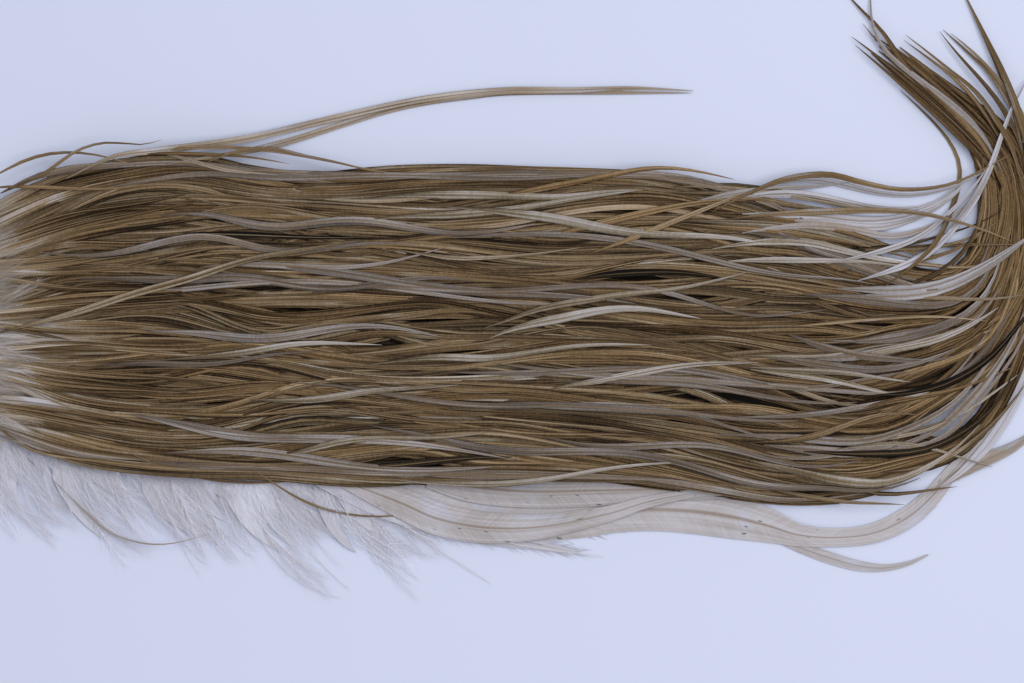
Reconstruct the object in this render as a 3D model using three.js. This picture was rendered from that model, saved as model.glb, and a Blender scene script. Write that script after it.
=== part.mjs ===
// A rooster saddle hackle: a dried patch of skin with its long narrow feathers, laid flat.
// Millimetres, +Z up. The origin is the middle of the skin's flat underside. +X runs along
// the feathers from the skin to their tips, and the long tips curl round to the +Y side.

import * as THREE from "three";

// Driving dimensions
const GAP = 0.35; // clear space between neighbouring pieces
const SKIN_THICKNESS = 1.2;
const SKIN_FRONT_X = -39;
const SKIN_REAR_X = 34;
const SKIN_FRONT_HALF_WIDTH = 22;
const SKIN_HALF_WIDTH = 32.5;
const ON_SKIN = 1.5; // height of the bed where the feathers lie on the skin
const ON_SURFACE = 0.15; // and where they lie on what the hackle rests on
const TOP_LOCK_WIDTH = 6; // natural width of one lock in the upper layer
const UNDER_LOCK_WIDTH = 8; // and in the lower layer
const LOCK_TAPER_RIBS = 3.2; // a lock narrows to its tip over this many ribs
const TAIL_START_RIB = 8; // past here the locks pull together into the tail
const TAIL_END_RIB = 18;
const TAIL_NARROWING = 0.68; // share of its width that a lock loses by the tail's end
const TAIL_FAN_RIB = 16; // from here on, the locks fan out instead of filling the ribs
const FAN_POWER = 1; // how much more the outer locks of the fan spread than the inner ones
const STRAY_WIDTH = 1.7; // one hackle
const STRAY_THICKNESS = 0.45;

// Ribs are lines across the mantle. Each has its inner, middle and outer point, and the heights
// of the bed under the feathers and of the tops of the lower and the upper layer.
const RIBS = [
  { inner: [-30, 22], middle: [-31, 0], outer: [-30, -22], bed: ON_SKIN, lower: 3.4, upper: 5.4 },
  { inner: [-10, 35.5], middle: [-10, 1], outer: [-10, -27.5], bed: ON_SKIN, lower: 4.3, upper: 7.4 },
  { inner: [10, 41.5], middle: [10, 2], outer: [10, -34.5], bed: ON_SKIN, lower: 4.6, upper: 8.1 },
  { inner: [40, 43.5], middle: [40, 2], outer: [40, -37.5], bed: ON_SKIN, lower: 4.4, upper: 7.8 },
  { inner: [64, 40], middle: [64, 1.5], outer: [64, -38], bed: ON_SURFACE, lower: 3.2, upper: 6.7 },
  { inner: [95, 40], middle: [95, 1], outer: [95, -39.5], bed: ON_SURFACE, lower: 3.1, upper: 6.4 },
  { inner: [130, 40.5], middle: [130, 0], outer: [130, -40], bed: ON_SURFACE, lower: 3, upper: 6.1 },
  { inner: [165, 39.5], middle: [165, -2], outer: [167, -42], bed: ON_SURFACE, lower: 2.8, upper: 5.7 },
  { inner: [190, 33], middle: [193, -6], outer: [197, -46.5], bed: ON_SURFACE, lower: 2.5, upper: 5 },
  { inner: [205, 25.5], middle: [213.5, -8], outer: [220, -44.5], bed: ON_SURFACE, lower: 2.3, upper: 4.5 },
  { inner: [219.5, 17.5], middle: [230, -6.5], outer: [238, -36], bed: ON_SURFACE, lower: 2.2, upper: 4.3 },
  { inner: [232, 12.5], middle: [243, -1.5], outer: [251, -20], bed: ON_SURFACE, lower: 2.2, upper: 4.3 },
  { inner: [242.5, 14.5], middle: [251.5, 8], outer: [260, -3], bed: ON_SURFACE, lower: 2.2, upper: 4.3 },
  { inner: [246.8, 25], middle: [255.5, 21.5], outer: [264, 14], bed: ON_SURFACE, lower: 2.2, upper: 4.3 },
  { inner: [247.3, 38], middle: [256, 38], outer: [264.5, 33], bed: ON_SURFACE, lower: 2.2, upper: 4.2 },
  { inner: [243.5, 47], middle: [250.5, 50.5], outer: [258, 50.5], bed: ON_SURFACE, lower: 2, upper: 3.9 },
  { inner: [235, 55.5], middle: [240, 60], outer: [246, 63], bed: ON_SURFACE, lower: 1.8, upper: 3.4 },
  { inner: [225, 64.5], middle: [229, 68.5], outer: [233, 71], bed: ON_SURFACE, lower: 1.5, upper: 2.8 },
  { inner: [215.5, 73], middle: [219, 76.5], outer: [223, 79], bed: ON_SURFACE, lower: 1.2, upper: 2.2 },
];

// The rib where each lock ends, in order from the inner edge to the outer one
const UNDER_LOCK_ENDS = [9, 11, 18, 10, 17, 9, 18, 11, 16, 18, 10, 10];
const TOP_LOCK_ENDS = [8, 7, 10, 18, 9, 18, 11, 17, 8, 18, 10, 16, 7, 17, 9, 8];

// Sections of a piece as [place across it, height in it], both from 0 to 1
const UNDER_SECTION = [[0, 0.45], [0.12, 0], [0.88, 0], [1, 0.45], [0.8, 1], [0.2, 1]];
const TOP_SECTION = [
  [0, 0.4], [0.13, 0], [0.87, 0], [1, 0.4], [0.87, 0.76], [0.64, 0.93], [0.36, 1], [0.12, 0.74],
];
const VANE_SECTION = [[0, 0.4], [0.3, 0], [0.7, 0], [1, 0.4], [0.56, 1], [0.44, 1]];
const STRAY_SECTION = [[0, 0.5], [0.5, 0], [1, 0.5], [0.5, 1]];
const PLUME_SECTION = [
  [0, 0.25], [0.2, 0], [0.8, 0], [1, 0.25], [0.84, 0.75], [0.5, 1], [0.16, 0.75],
];

// Finishes
const FINISHES = {
  skin: { color: 0xc9a878, roughness: 0.65 },
  hackle: { color: 0x8f7250, roughness: 0.5 },
  darkHackle: { color: 0x6f5638, roughness: 0.5 },
  paleHackle: { color: 0xa99a88, roughness: 0.5 },
  sideFeather: { color: 0xb5aca4, roughness: 0.6 },
  down: { color: 0xe6e2e0, roughness: 0.95 },
};

const hackle = new THREE.Group();

function addPiece(name, geometry, finish) {
  const material = new THREE.MeshStandardMaterial({ ...FINISHES[finish], metalness: 0 });
  const mesh = new THREE.Mesh(geometry, material);
  mesh.name = name;
  hackle.add(mesh);
}

// A closed body through rings of equal length, from a flat end to a flat end or to a tip point
function loft(rings, tip) {
  const sides = rings[0].length;
  const points = rings.flat();
  const faces = [];
  for (let side = 1; side < sides - 1; side++) {
    faces.push(0, side + 1, side);
  }
  for (let ring = 0; ring < rings.length - 1; ring++) {
    for (let side = 0; side < sides; side++) {
      const here = ring * sides + side;
      const beside = ring * sides + ((side + 1) % sides);
      faces.push(here, beside, here + sides);
      faces.push(beside, beside + sides, here + sides);
    }
  }
  const last = (rings.length - 1) * sides;
  if (tip) {
    points.push(tip);
    for (let side = 0; side < sides; side++) {
      faces.push(last + side, last + ((side + 1) % sides), points.length - 1);
    }
  } else {
    for (let side = 1; side < sides - 1; side++) {
      faces.push(last, last + side, last + side + 1);
    }
  }
  return closedGeometry(points, faces);
}

// Faces are turned to point out, which the sign of the volume tells
function closedGeometry(points, faces) {
  let volume = 0;
  for (let at = 0; at < faces.length; at += 3) {
    const [a, b, c] = [points[faces[at]], points[faces[at + 1]], points[faces[at + 2]]];
    volume += a.dot(new THREE.Vector3().crossVectors(b, c));
  }
  const outward = volume > 0 ? faces : [...faces].reverse();
  const geometry = new THREE.BufferGeometry().setFromPoints(points);
  geometry.setIndex(outward);
  geometry.computeVertexNormals();
  return geometry;
}

// The point on a rib at a share of the way across, on a curve through its three points
function acrossRib(rib, share) {
  const { inner, middle, outer } = RIBS[rib];
  const parts = [
    2 * (share - 0.5) * (share - 1),
    -4 * share * (share - 1),
    2 * share * (share - 0.5),
  ];
  return new THREE.Vector2(
    parts[0] * inner[0] + parts[1] * middle[0] + parts[2] * outer[0],
    parts[0] * inner[1] + parts[1] * middle[1] + parts[2] * outer[1],
  );
}

function ribLength(rib) {
  const { inner, middle, outer } = RIBS[rib];
  return Math.hypot(middle[0] - inner[0], middle[1] - inner[1])
    + Math.hypot(outer[0] - middle[0], outer[1] - middle[1]);
}

// The locks sway a little from side to side, and least at the two edges
function swayed(share, rib) {
  const edge = Math.sin(Math.PI * share);
  return share + 0.016 * edge * Math.sin(1.9 * rib + 9 * share);
}

// How much of its natural width a lock has left at a rib
function lockFullness(end, rib) {
  const left = (end - rib) / LOCK_TAPER_RIBS;
  return left <= 0 ? 0 : Math.min(1, left ** 0.7);
}

// The shares of a rib that the locks of one layer take, with a gap between them. They fill the
// ribs before the fan. In the fan the room left over opens towards the outer side.
function shareRib(layer, rib) {
  const length = ribLength(rib);
  const tail = Math.max(0, (rib - TAIL_START_RIB) / (TAIL_END_RIB - TAIL_START_RIB));
  const widths = layer.ends.map((end, lock) => {
    const own = layer.width * (1 + 0.22 * Math.sin(2.4 * lock + 1));
    return own * (1 - TAIL_NARROWING * tail) * lockFullness(end, rib);
  });
  const count = widths.length;
  const total = widths.reduce((sum, width) => sum + width, 0);
  const room = length - GAP * (count - 1);
  const fill = room / total;
  const scale = rib < TAIL_FAN_RIB ? fill : Math.min(1, fill);
  const spare = room - total * scale;
  const spareWeights = widths.map((_, lock) => (lock === count - 1 ? 0 : (lock + 1) ** FAN_POWER));
  const spareTotal = spareWeights.reduce((sum, weight) => sum + weight, 0);
  let place = 0;
  return widths.map((width, lock) => {
    const from = place;
    const to = place + width * scale;
    place = to + GAP + (spare * spareWeights[lock]) / spareTotal;
    return { from: from / length, to: to / length };
  });
}

// A lock's section stands on the straight line between its two edges on a rib
function lockRing(rib, cell, section, bottom, top) {
  const left = acrossRib(rib, swayed(cell.from, rib));
  const right = acrossRib(rib, swayed(cell.to, rib));
  return section.map(([across, height]) => {
    const place = new THREE.Vector2().lerpVectors(left, right, across);
    return new THREE.Vector3(place.x, place.y, bottom + height * (top - bottom));
  });
}

function lockGeometry(layer, lock, shares) {
  const end = layer.ends[lock];
  const rings = [];
  for (let rib = 0; rib < end; rib++) {
    const bottom = layer.bottom(rib);
    const fullness = 0.45 + 0.55 * lockFullness(end, rib);
    const height = (layer.top(rib) - bottom) * fullness * layer.crown(lock);
    rings.push(lockRing(rib, shares[rib][lock], layer.section, bottom, bottom + height));
  }
  const cell = shares[end][lock];
  const place = acrossRib(end, swayed(cell.from, end));
  const tip = new THREE.Vector3(place.x, place.y, layer.bottom(end) + 0.3);
  return loft(rings, tip);
}

function addLayer(layer) {
  const shares = RIBS.map((_, rib) => shareRib(layer, rib));
  layer.ends.forEach((end, lock) => {
    const number = String(lock + 1).padStart(2, "0");
    addPiece(`${layer.name}_${number}`, lockGeometry(layer, lock, shares), layer.finish(lock));
  });
}

const underLayer = {
  name: "under_lock",
  ends: UNDER_LOCK_ENDS,
  width: UNDER_LOCK_WIDTH,
  section: UNDER_SECTION,
  bottom: (rib) => RIBS[rib].bed,
  top: (rib) => RIBS[rib].lower,
  crown: () => 1,
  finish: () => "darkHackle",
};

const topLayer = {
  name: "top_lock",
  ends: TOP_LOCK_ENDS,
  width: TOP_LOCK_WIDTH,
  section: TOP_SECTION,
  bottom: (rib) => RIBS[rib].lower + GAP,
  top: (rib) => RIBS[rib].upper,
  crown: (lock) => 0.86 + 0.14 * Math.sin(2.1 * lock),
  finish: (lock) => (lock % 5 === 1 ? "paleHackle" : "hackle"),
};

// A feather or plume along a smooth path. Each path point is [x, y, height of its underside],
// width and thickness are the largest ones, and fullness gives their share along the way.
function featherGeometry({ path, width, thickness, section, steps, fullness }) {
  const curve = new THREE.CatmullRomCurve3(path.map((point) => new THREE.Vector3(...point)));
  const rings = [];
  for (let step = 0; step < steps; step++) {
    const along = step / steps;
    const place = curve.getPointAt(along);
    const heading = curve.getTangentAt(along);
    const side = new THREE.Vector2(heading.y, -heading.x).normalize();
    const share = fullness(along);
    rings.push(section.map(([across, height]) => new THREE.Vector3(
      place.x + side.x * (across - 0.5) * width * share,
      place.y + side.y * (across - 0.5) * width * share,
      place.z + height * thickness * (0.4 + 0.6 * share),
    )));
  }
  const tip = curve.getPointAt(1);
  tip.z += 0.3 * thickness;
  return loft(rings, tip);
}

// A hackle stays nearly parallel and then runs out to a fine point
const hackleFullness = (along) => Math.min(1, 0.55 + 3 * along, 0.25 + 2.6 * (1 - along));
const coverFullness = (along) => Math.min(1, 0.6 + 2 * along, 0.12 + 1.7 * (1 - along));
const sideFullness = (along, waist) => Math.min(
  0.4 + 2.4 * along,
  1 - (1 - waist) * THREE.MathUtils.smoothstep(along, 0.48, 0.6),
  0.12 + 2 * (1 - along),
);
const plumeFullness = (along) => (0.7 + 0.9 * along) * (1 - along ** 1.7) + 0.06;

// The short feathers that cover the front, in order from the +Y side. They lie on the upper
// layer: each path gives the ends in plan, and the height follows the layer's top.
const COVER_WIDTH = 8;
const COVER_THICKNESS = 1.5;
const COVER_ENDS = [
  { start: [-28, 20], tip: [44, 33] },
  { start: [-28, 11.5], tip: [28, 18] },
  { start: [-29, 4], tip: [60, 9] },
  { start: [-29, -4], tip: [24, -4.5] },
  { start: [-28, -12], tip: [50, -17] },
  { start: [-28, -20], tip: [30, -28.5] },
];

function topOfMantle(x) {
  const next = RIBS.findIndex((rib) => rib.inner[0] > x);
  const [before, after] = [RIBS[next - 1], RIBS[next]];
  const share = (x - before.inner[0]) / (after.inner[0] - before.inner[0]);
  return before.upper + share * (after.upper - before.upper);
}

function addCovers() {
  COVER_ENDS.forEach(({ start, tip }, index) => {
    const path = [];
    const points = 6;
    for (let point = 0; point <= points; point++) {
      const x = start[0] + ((tip[0] - start[0]) * point) / points;
      const y = start[1] + ((tip[1] - start[1]) * point) / points;
      path.push([x, y, topOfMantle(x) + GAP + 0.15]);
    }
    addPiece(`cover_feather_${index + 1}`, featherGeometry({
      path,
      width: COVER_WIDTH,
      thickness: COVER_THICKNESS,
      section: TOP_SECTION,
      steps: 7,
      fullness: coverFullness,
    }), index % 2 ? "paleHackle" : "hackle");
  });
}

// Single hackles that stray from the mantle, each by the points that it passes
const STRAYS = {
  stray_top_long: [
    [8, 38, 8.6], [20, 43.7, 8.4], [30, 45.2, 7.4], [40, 46.5, 5.6], [50, 48, 3.6], [60, 50, 2],
    [78, 54.3, 1], [100, 59, 0.95], [120, 61.3, 0.95], [140, 61.6, 0.95], [156, 62.1, 0.9],
    [171.5, 61.4, 0.9],
  ],
  stray_top_pair: [
    [34, 41.8, 8.2], [42, 43.2, 7.2], [50, 44.6, 5], [57, 46, 2.6], [66, 48.4, 0.9],
    [78, 52.2, 0.2], [90, 56, 0.2], [100, 58.3, 0.2], [112, 60, 0.2], [125, 61.2, 0.2],
    [150, 61, 0.2], [171, 60.9, 0.2],
  ],
  stray_top_left_loop: [
    [-9, 34.2, 8], [1, 38.6, 8.4], [6, 42.2, 7.6], [11, 45.6, 6.8], [17, 47.4, 6.4],
    [23, 47.3, 6.8], [28, 47, 7.4], [33, 48.2, 7.8],
  ],
  stray_top_arch: [
    [44, 42, 8], [50, 44.4, 8], [56, 45.8, 7.6], [63, 45.6, 7.4], [70, 44, 7.2], [78, 42.4, 7],
    [84, 41, 6.9], [92, 39.6, 6.8],
  ],
  stray_bay_upper: [
    [176, 29.5, 5.9], [185, 34, 5.6], [195, 38, 5.2], [206, 39.3, 4.9], [216, 37, 4.8],
    [225, 35.4, 4.8], [235, 36, 4.8], [243, 38.6, 4.8], [254, 44.5, 4.8],
  ],
  stray_bay_lower: [
    [180, 27.5, 5.9], [190, 28.8, 5.5], [204, 29.6, 5], [220, 29.9, 4.8], [232, 28.9, 4.8],
    [245, 25.5, 4.8], [254, 22, 4.8],
  ],
  stray_tail_arc: [
    [221, 10, 5.1], [226, 13.5, 5.1], [230.5, 17.2, 4.9], [234.5, 21.5, 4.2], [237.5, 26.5, 2.4],
    [239.8, 32, 0.8],
    [241.2, 37, 0.3], [241.3, 42, 0.2], [239.5, 46.8, 0.2], [236.1, 51.5, 0.2],
    [231.4, 56.4, 0.2], [225.8, 61.6, 0.2],
  ],
  stray_tail_near: [
    [257.5, 34, 5], [254.5, 46, 4.9], [250, 54, 4.6], [245, 61, 4.2], [238.5, 66.5, 3.7],
    [232.5, 71.5, 3], [227, 76, 1.8],
  ],
  stray_tail_middle: [
    [261, 36, 4.9], [259, 48, 4.4], [254, 58, 3], [249, 66, 1.7], [243.5, 71.5, 0.8],
    [237, 77.5, 0.3],
  ],
  stray_tail_far: [
    [259.5, 36, 5.7], [258.3, 47, 5.5], [255.6, 57, 4.6], [251.8, 67, 3.3], [247.4, 76.5, 1.8],
    [242, 88, 0.4],
  ],
  stray_low_left: [
    [3, -39.6, 2.9], [9, -45.6, 2.9], [14, -50.4, 3], [19, -54.4, 3], [27, -57, 3.1],
    [35, -57.1, 3.4], [45, -54.6, 3.6],
  ],
  stray_low_loop: [
    [24, -33, 8.5], [33, -37, 6.8], [42, -39.6, 5], [52, -41, 3.5], [62, -41, 3.4],
    [72, -40.1, 3.6], [80, -39.2, 6.9],
  ],
};

function addStrays() {
  for (const [name, path] of Object.entries(STRAYS)) {
    addPiece(name, featherGeometry({
      path,
      width: STRAY_WIDTH,
      thickness: STRAY_THICKNESS,
      section: STRAY_SECTION,
      steps: 2 * path.length,
      fullness: hackleFullness,
    }), "hackle");
  }
}

// Broad webby feathers along the lower edge, each by its middle line, its full width and, where
// it narrows past its middle, the share of the width that it keeps there
const SIDE_FEATHERS = {
  side_feather_long: {
    width: 10,
    waist: 0.5,
    path: [
      [100, -48.2, 2.8], [110, -51, 2.6], [120, -52, 1.5], [130, -52, 0.5], [140, -51.2, 0.2],
      [150, -50.2, 0.2], [160, -49.4, 0.2], [170, -49.2, 0.2], [180, -50.2, 0.2],
      [190, -52.5, 0.4], [199, -55, 0.95], [209, -56, 0.95], [219, -54.8, 0.6],
      [227.5, -50.8, 0.2], [234, -45.2, 0.2], [239, -39.6, 0.2], [246, -31, 0.2],
      [254, -20.5, 0.2],
    ],
  },
  side_feather_near: {
    width: 6.4,
    path: [
      [112, -44.8, 3.3], [122, -45.4, 2.2], [134, -45.6, 1.2], [148, -45.8, 0.95],
      [160, -46.4, 0.95], [172, -47.6, 0.95],
    ],
  },
  side_feather_low: {
    width: 2.8,
    path: [
      [199, -59.2, 0.2], [208, -61.8, 0.2], [216.3, -63.9, 0.2], [223, -64.2, 0.2],
      [228.5, -63.2, 0.2], [233.5, -61, 0.2],
    ],
  },
  side_feather_right: {
    width: 4,
    path: [
      [240, -43.6, 0.95], [245.5, -38.6, 0.95], [252, -34.6, 0.95], [258, -31, 0.5],
      [265, -25, 0.2],
    ],
  },
  side_feather_pale: {
    width: 2.6,
    path: [
      [243, -37.4, 1.9], [250, -29.6, 1], [255.4, -20.8, 1], [259.6, -11.6, 0.7],
      [263.4, -2, 0.3], [266, 8, 0.2],
    ],
  },
};

function addSideFeathers() {
  for (const [name, { path, width, waist = 1 }] of Object.entries(SIDE_FEATHERS)) {
    addPiece(name, featherGeometry({
      path,
      width,
      thickness: 0.4,
      section: VANE_SECTION,
      steps: path.length + 3,
      fullness: (along) => sideFullness(along, waist),
    }), "sideFeather");
  }
}

// Plumes of down that spread from the lower edge over the surface
const DOWN_WIDTH = 15.5;
const DOWN_THICKNESS = 2.2;
const DOWN_PLUMES = [
  [[-22, -32.5], [-19, -41], [-11, -51]],
  [[-2, -38], [2, -46], [9, -51.5], [18, -55.5]],
  [[21, -40.5], [25, -48], [33, -54.5], [43, -59.5]],
  [[45, -41.5], [51, -51.5], [63, -62.5], [78.5, -71.5]],
  [[67, -43.5], [72, -53], [82, -62], [96, -69.5]],
  [[90, -45.5], [96, -53.5], [106, -60.5], [118.5, -67.5]],
];

function addDown() {
  DOWN_PLUMES.forEach((route, index) => {
    addPiece(`down_plume_${index + 1}`, featherGeometry({
      path: route.map(([x, y]) => [x, y, ON_SURFACE]),
      width: DOWN_WIDTH,
      thickness: DOWN_THICKNESS,
      section: PLUME_SECTION,
      steps: 9,
      fullness: plumeFullness,
    }), "down");
  });
  // A band of down that lies round the front of the feathers' roots, on the skin
  const frontDown = featherGeometry({
    path: [[-33.6, 27], [-34.4, 13], [-35, 0], [-34.4, -13], [-33.6, -27]].map(
      ([x, y]) => [x, y, ON_SKIN],
    ),
    width: 7,
    thickness: 5.5,
    section: PLUME_SECTION,
    steps: 12,
    fullness: (along) => Math.sqrt(Math.sin(Math.PI * (0.06 + 0.88 * along))),
  });
  addPiece("front_down", frontDown, "down");
}

// The skin is a rounded patch, narrower at the front, with slightly bowed sides
function addSkin() {
  const outline = new THREE.Shape();
  outline.moveTo(SKIN_FRONT_X, 0);
  outline.bezierCurveTo(
    SKIN_FRONT_X, SKIN_FRONT_HALF_WIDTH, SKIN_FRONT_X + 6, SKIN_FRONT_HALF_WIDTH + 3, -14,
    SKIN_HALF_WIDTH - 2,
  );
  outline.bezierCurveTo(
    4, SKIN_HALF_WIDTH + 2, SKIN_REAR_X, SKIN_HALF_WIDTH + 2, SKIN_REAR_X, SKIN_HALF_WIDTH - 12,
  );
  outline.bezierCurveTo(
    SKIN_REAR_X, 8, SKIN_REAR_X - 2, -8, SKIN_REAR_X, 12 - SKIN_HALF_WIDTH,
  );
  outline.bezierCurveTo(
    SKIN_REAR_X, -SKIN_HALF_WIDTH - 2, 4, -SKIN_HALF_WIDTH - 2, -14, 2 - SKIN_HALF_WIDTH,
  );
  outline.bezierCurveTo(
    SKIN_FRONT_X + 6, -SKIN_FRONT_HALF_WIDTH - 3, SKIN_FRONT_X, -SKIN_FRONT_HALF_WIDTH,
    SKIN_FRONT_X, 0,
  );
  const solid = new THREE.ExtrudeGeometry(outline, {
    depth: SKIN_THICKNESS,
    curveSegments: 9,
    bevelEnabled: false,
  });
  addPiece("skin", solid, "skin");
}

addSkin();
addLayer(underLayer);
addLayer(topLayer);
addCovers();
addStrays();
addSideFeathers();
addDown();

export default hackle;
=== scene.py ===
"""A rooster saddle hackle: long narrow feathers in locks on a dried skin, laid flat on a table."""

import logging
import math
from collections.abc import Sequence
from dataclasses import asdict, dataclass, field
from enum import Enum, IntEnum

import bpy
import numpy as np
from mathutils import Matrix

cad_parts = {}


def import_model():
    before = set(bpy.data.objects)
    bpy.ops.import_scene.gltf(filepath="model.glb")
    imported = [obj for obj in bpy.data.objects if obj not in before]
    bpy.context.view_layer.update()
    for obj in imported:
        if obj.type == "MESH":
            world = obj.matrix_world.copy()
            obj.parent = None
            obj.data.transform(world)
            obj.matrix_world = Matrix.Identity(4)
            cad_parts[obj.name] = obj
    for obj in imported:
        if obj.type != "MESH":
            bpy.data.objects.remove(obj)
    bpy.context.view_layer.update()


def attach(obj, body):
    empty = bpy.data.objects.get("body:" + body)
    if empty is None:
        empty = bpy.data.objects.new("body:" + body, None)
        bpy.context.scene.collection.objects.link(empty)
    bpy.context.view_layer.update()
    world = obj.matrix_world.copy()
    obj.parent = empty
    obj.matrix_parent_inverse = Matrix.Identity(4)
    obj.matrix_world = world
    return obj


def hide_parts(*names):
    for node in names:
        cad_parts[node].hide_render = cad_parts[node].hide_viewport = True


MM = 0.001
RIM_ANGLE = math.radians(40)
LOG = logging.getLogger("hackle")

Route = tuple[tuple[float, ...], ...]
Span = tuple[float, float]
Socket = bpy.types.NodeSocket
Number = Socket | float
Colour = tuple[float, float, float, float]
Stops = tuple[tuple[float, Colour], ...]
Rng = np.random.Generator
Array = np.ndarray


class Slot(Enum):
    """The record's material slots that the feathers have."""

    HACKLE = "hackle_feather"
    WEBBY = "webby_feather"
    DOWN = "down"


class Seed(IntEnum):
    """Where the random draws of each kind of feather start; the feather's own number is added."""

    SCATTERED = 77
    FIRM = 300
    SHEER = 350
    STRAY = 400
    PLUME = 500
    WEB = 540
    BLADE = 560
    COVER = 600
    COVER_FLUFF = 700
    FRONT = 800
    SIDE = 900
    LAYER = 1000


def linear(red: int, green: int, blue: int) -> Colour:
    """Turns a colour as seen on a screen into the linear one that a shader takes.

    Args:
        red: Red from 0 to 255.
        green: Green from 0 to 255.
        blue: Blue from 0 to 255.

    Returns:
        The linear colour, opaque.
    """
    shares = [value / 255 for value in (red, green, blue)]
    parts = [s / 12.92 if s <= 0.04045 else ((s + 0.055) / 1.055) ** 2.4 for s in shares]
    return (parts[0], parts[1], parts[2], 1.0)


def add_object(name: str, data: bpy.types.ID) -> bpy.types.Object:
    """Adds an object to the scene."""
    made = bpy.data.objects.new(name, data)
    bpy.context.scene.collection.objects.link(made)
    return made


def tones(*stops: tuple[float, int, int, int]) -> Stops:
    """A run of colours, each by its place from 0 to 1 and its red, green and blue on a screen."""
    return tuple((place, linear(*colour)) for place, *colour in stops)


# Tones of the feathers from nearly black to nearly white, in a ginger run and in a grey one
GINGER = tones(
    (0.0, 10, 7, 4), (0.2, 46, 33, 20), (0.4, 93, 73, 48), (0.6, 131, 108, 77), (0.8, 166, 146, 117),
    (1.0, 200, 188, 170),
)
GREY = tones(
    (0.0, 10, 8, 6), (0.2, 45, 37, 27), (0.4, 88, 77, 60), (0.6, 128, 119, 104), (0.8, 160, 155, 154),
    (1.0, 194, 192, 198),
)

# Cool and warm tones of the thin pale vanes, of the down and of the fluff over the front roots
LAVENDER = tones((0.0, 20, 18, 20), (0.4, 104, 96, 90), (0.7, 150, 147, 149), (1.0, 190, 190, 202))
STRAW = tones((0.0, 20, 15, 10), (0.4, 104, 84, 56), (0.7, 152, 134, 108), (1.0, 194, 186, 176))
VEIL = tones((0.0, 146, 147, 158), (1.0, 204, 206, 222))
WHITE = tones((0.0, 178, 178, 188), (1.0, 224, 226, 240))
CREAM = tones((0.0, 170, 148, 118), (0.6, 222, 212, 196), (1.0, 240, 236, 230))
ASH = tones((0.0, 112, 104, 98), (0.5, 158, 152, 148), (1.0, 206, 204, 208))
SAND = tones((0.0, 112, 92, 68), (0.5, 160, 144, 122), (1.0, 208, 198, 184))


class Wiring:
    """Adds nodes to a shader or geometry tree and joins them."""

    def __init__(self, tree: bpy.types.NodeTree) -> None:
        """Keeps the tree that the nodes go into."""
        self.tree = tree

    def add(self, kind: str, inputs: dict | None = None, **settings: object) -> bpy.types.Node:
        """Adds one node.

        Args:
            kind: The node's type.
            inputs: What goes into its inputs, a socket to join or a plain value, by name or place.
            **settings: Properties that are set on the node first.

        Returns:
            The node.
        """
        node = self.tree.nodes.new(kind)
        for name, value in settings.items():
            setattr(node, name, value)
        for key, value in (inputs or {}).items():
            self.feed(node.inputs[key], value)
        return node

    def take(self, kind: str, inputs: dict | None = None, **settings: object) -> Socket:
        """Adds a node as above and returns its first output."""
        return self.add(kind, inputs, **settings).outputs[0]

    def times(self, one: Number, other: Number) -> Socket:
        """Multiplies two numbers."""
        return self.math("MULTIPLY", one, other)

    def feed(self, target: Socket, value: object) -> None:
        """Joins a socket to an input, or sets the input's own value."""
        if isinstance(value, bpy.types.NodeSocket):
            self.tree.links.new(value, target)
        else:
            target.default_value = value

    def math(self, operation: str, *values: Number) -> Socket:
        """Adds a Math node on up to three values and returns its result."""
        return self.take("ShaderNodeMath", dict(enumerate(values)), operation=operation)

    def span(self, value: Number, low: float, high: float, to_low: Number, to_high: Number) -> Socket:
        """Maps a value from one range to another smoothly, and holds it there beyond the ends."""
        inputs = {0: value, 1: low, 2: high, 3: to_low, 4: to_high}
        return self.take("ShaderNodeMapRange", inputs, interpolation_type="SMOOTHSTEP")

    def vector(self, x: Number, y: Number, z: Number) -> Socket:
        """Joins three numbers to one vector."""
        return self.take("ShaderNodeCombineXYZ", {0: x, 1: y, 2: z})

    def named(self, name: str) -> Socket:
        """A number that each point of the piece carries under this name, in a shader."""
        return self.add("ShaderNodeAttribute", attribute_name=name).outputs["Fac"]

    def swing(self, pattern: Socket, strength: float) -> Socket:
        """Makes a pattern from 0 to 1 a change by up to half its strength up or down."""
        return self.math("MULTIPLY_ADD", pattern, strength, -strength / 2)

    def mix(self, share: Number, one: object, other: object) -> Socket:
        """Mixes two colours."""
        return self.add("ShaderNodeMix", {0: share, 6: one, 7: other}, data_type="RGBA").outputs[2]

    def noise(self, place: Socket, scale: float, detail: float = 2.0) -> Socket:
        """Soft noise from 0 to 1 at a place."""
        inputs = {"Vector": place, "Scale": scale, "Detail": detail}
        return self.add("ShaderNodeTexNoise", inputs).outputs["Fac"]

    def ramp(self, value: Socket, stops: Stops) -> Socket:
        """Gives the colour at a value between the stops' colours."""
        node = self.add("ShaderNodeValToRGB", {0: value})
        elements = node.color_ramp.elements
        while len(elements) < len(stops):
            elements.new(0.5)
        for element, (place, colour) in zip(elements, stops):
            element.position = place
            element.color = colour
        return node.outputs[0]

    def toned(self, tone: Socket, warmth: Socket, cool: Stops, warm: Stops) -> Socket:
        """Gives the colour of a tone, as far from a cool run of colours to a warm one as its warmth says."""
        share = self.span(warmth, 0.0, 1.0, 0.0, 1.0)
        return self.mix(share, self.ramp(tone, cool), self.ramp(tone, warm))


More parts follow.
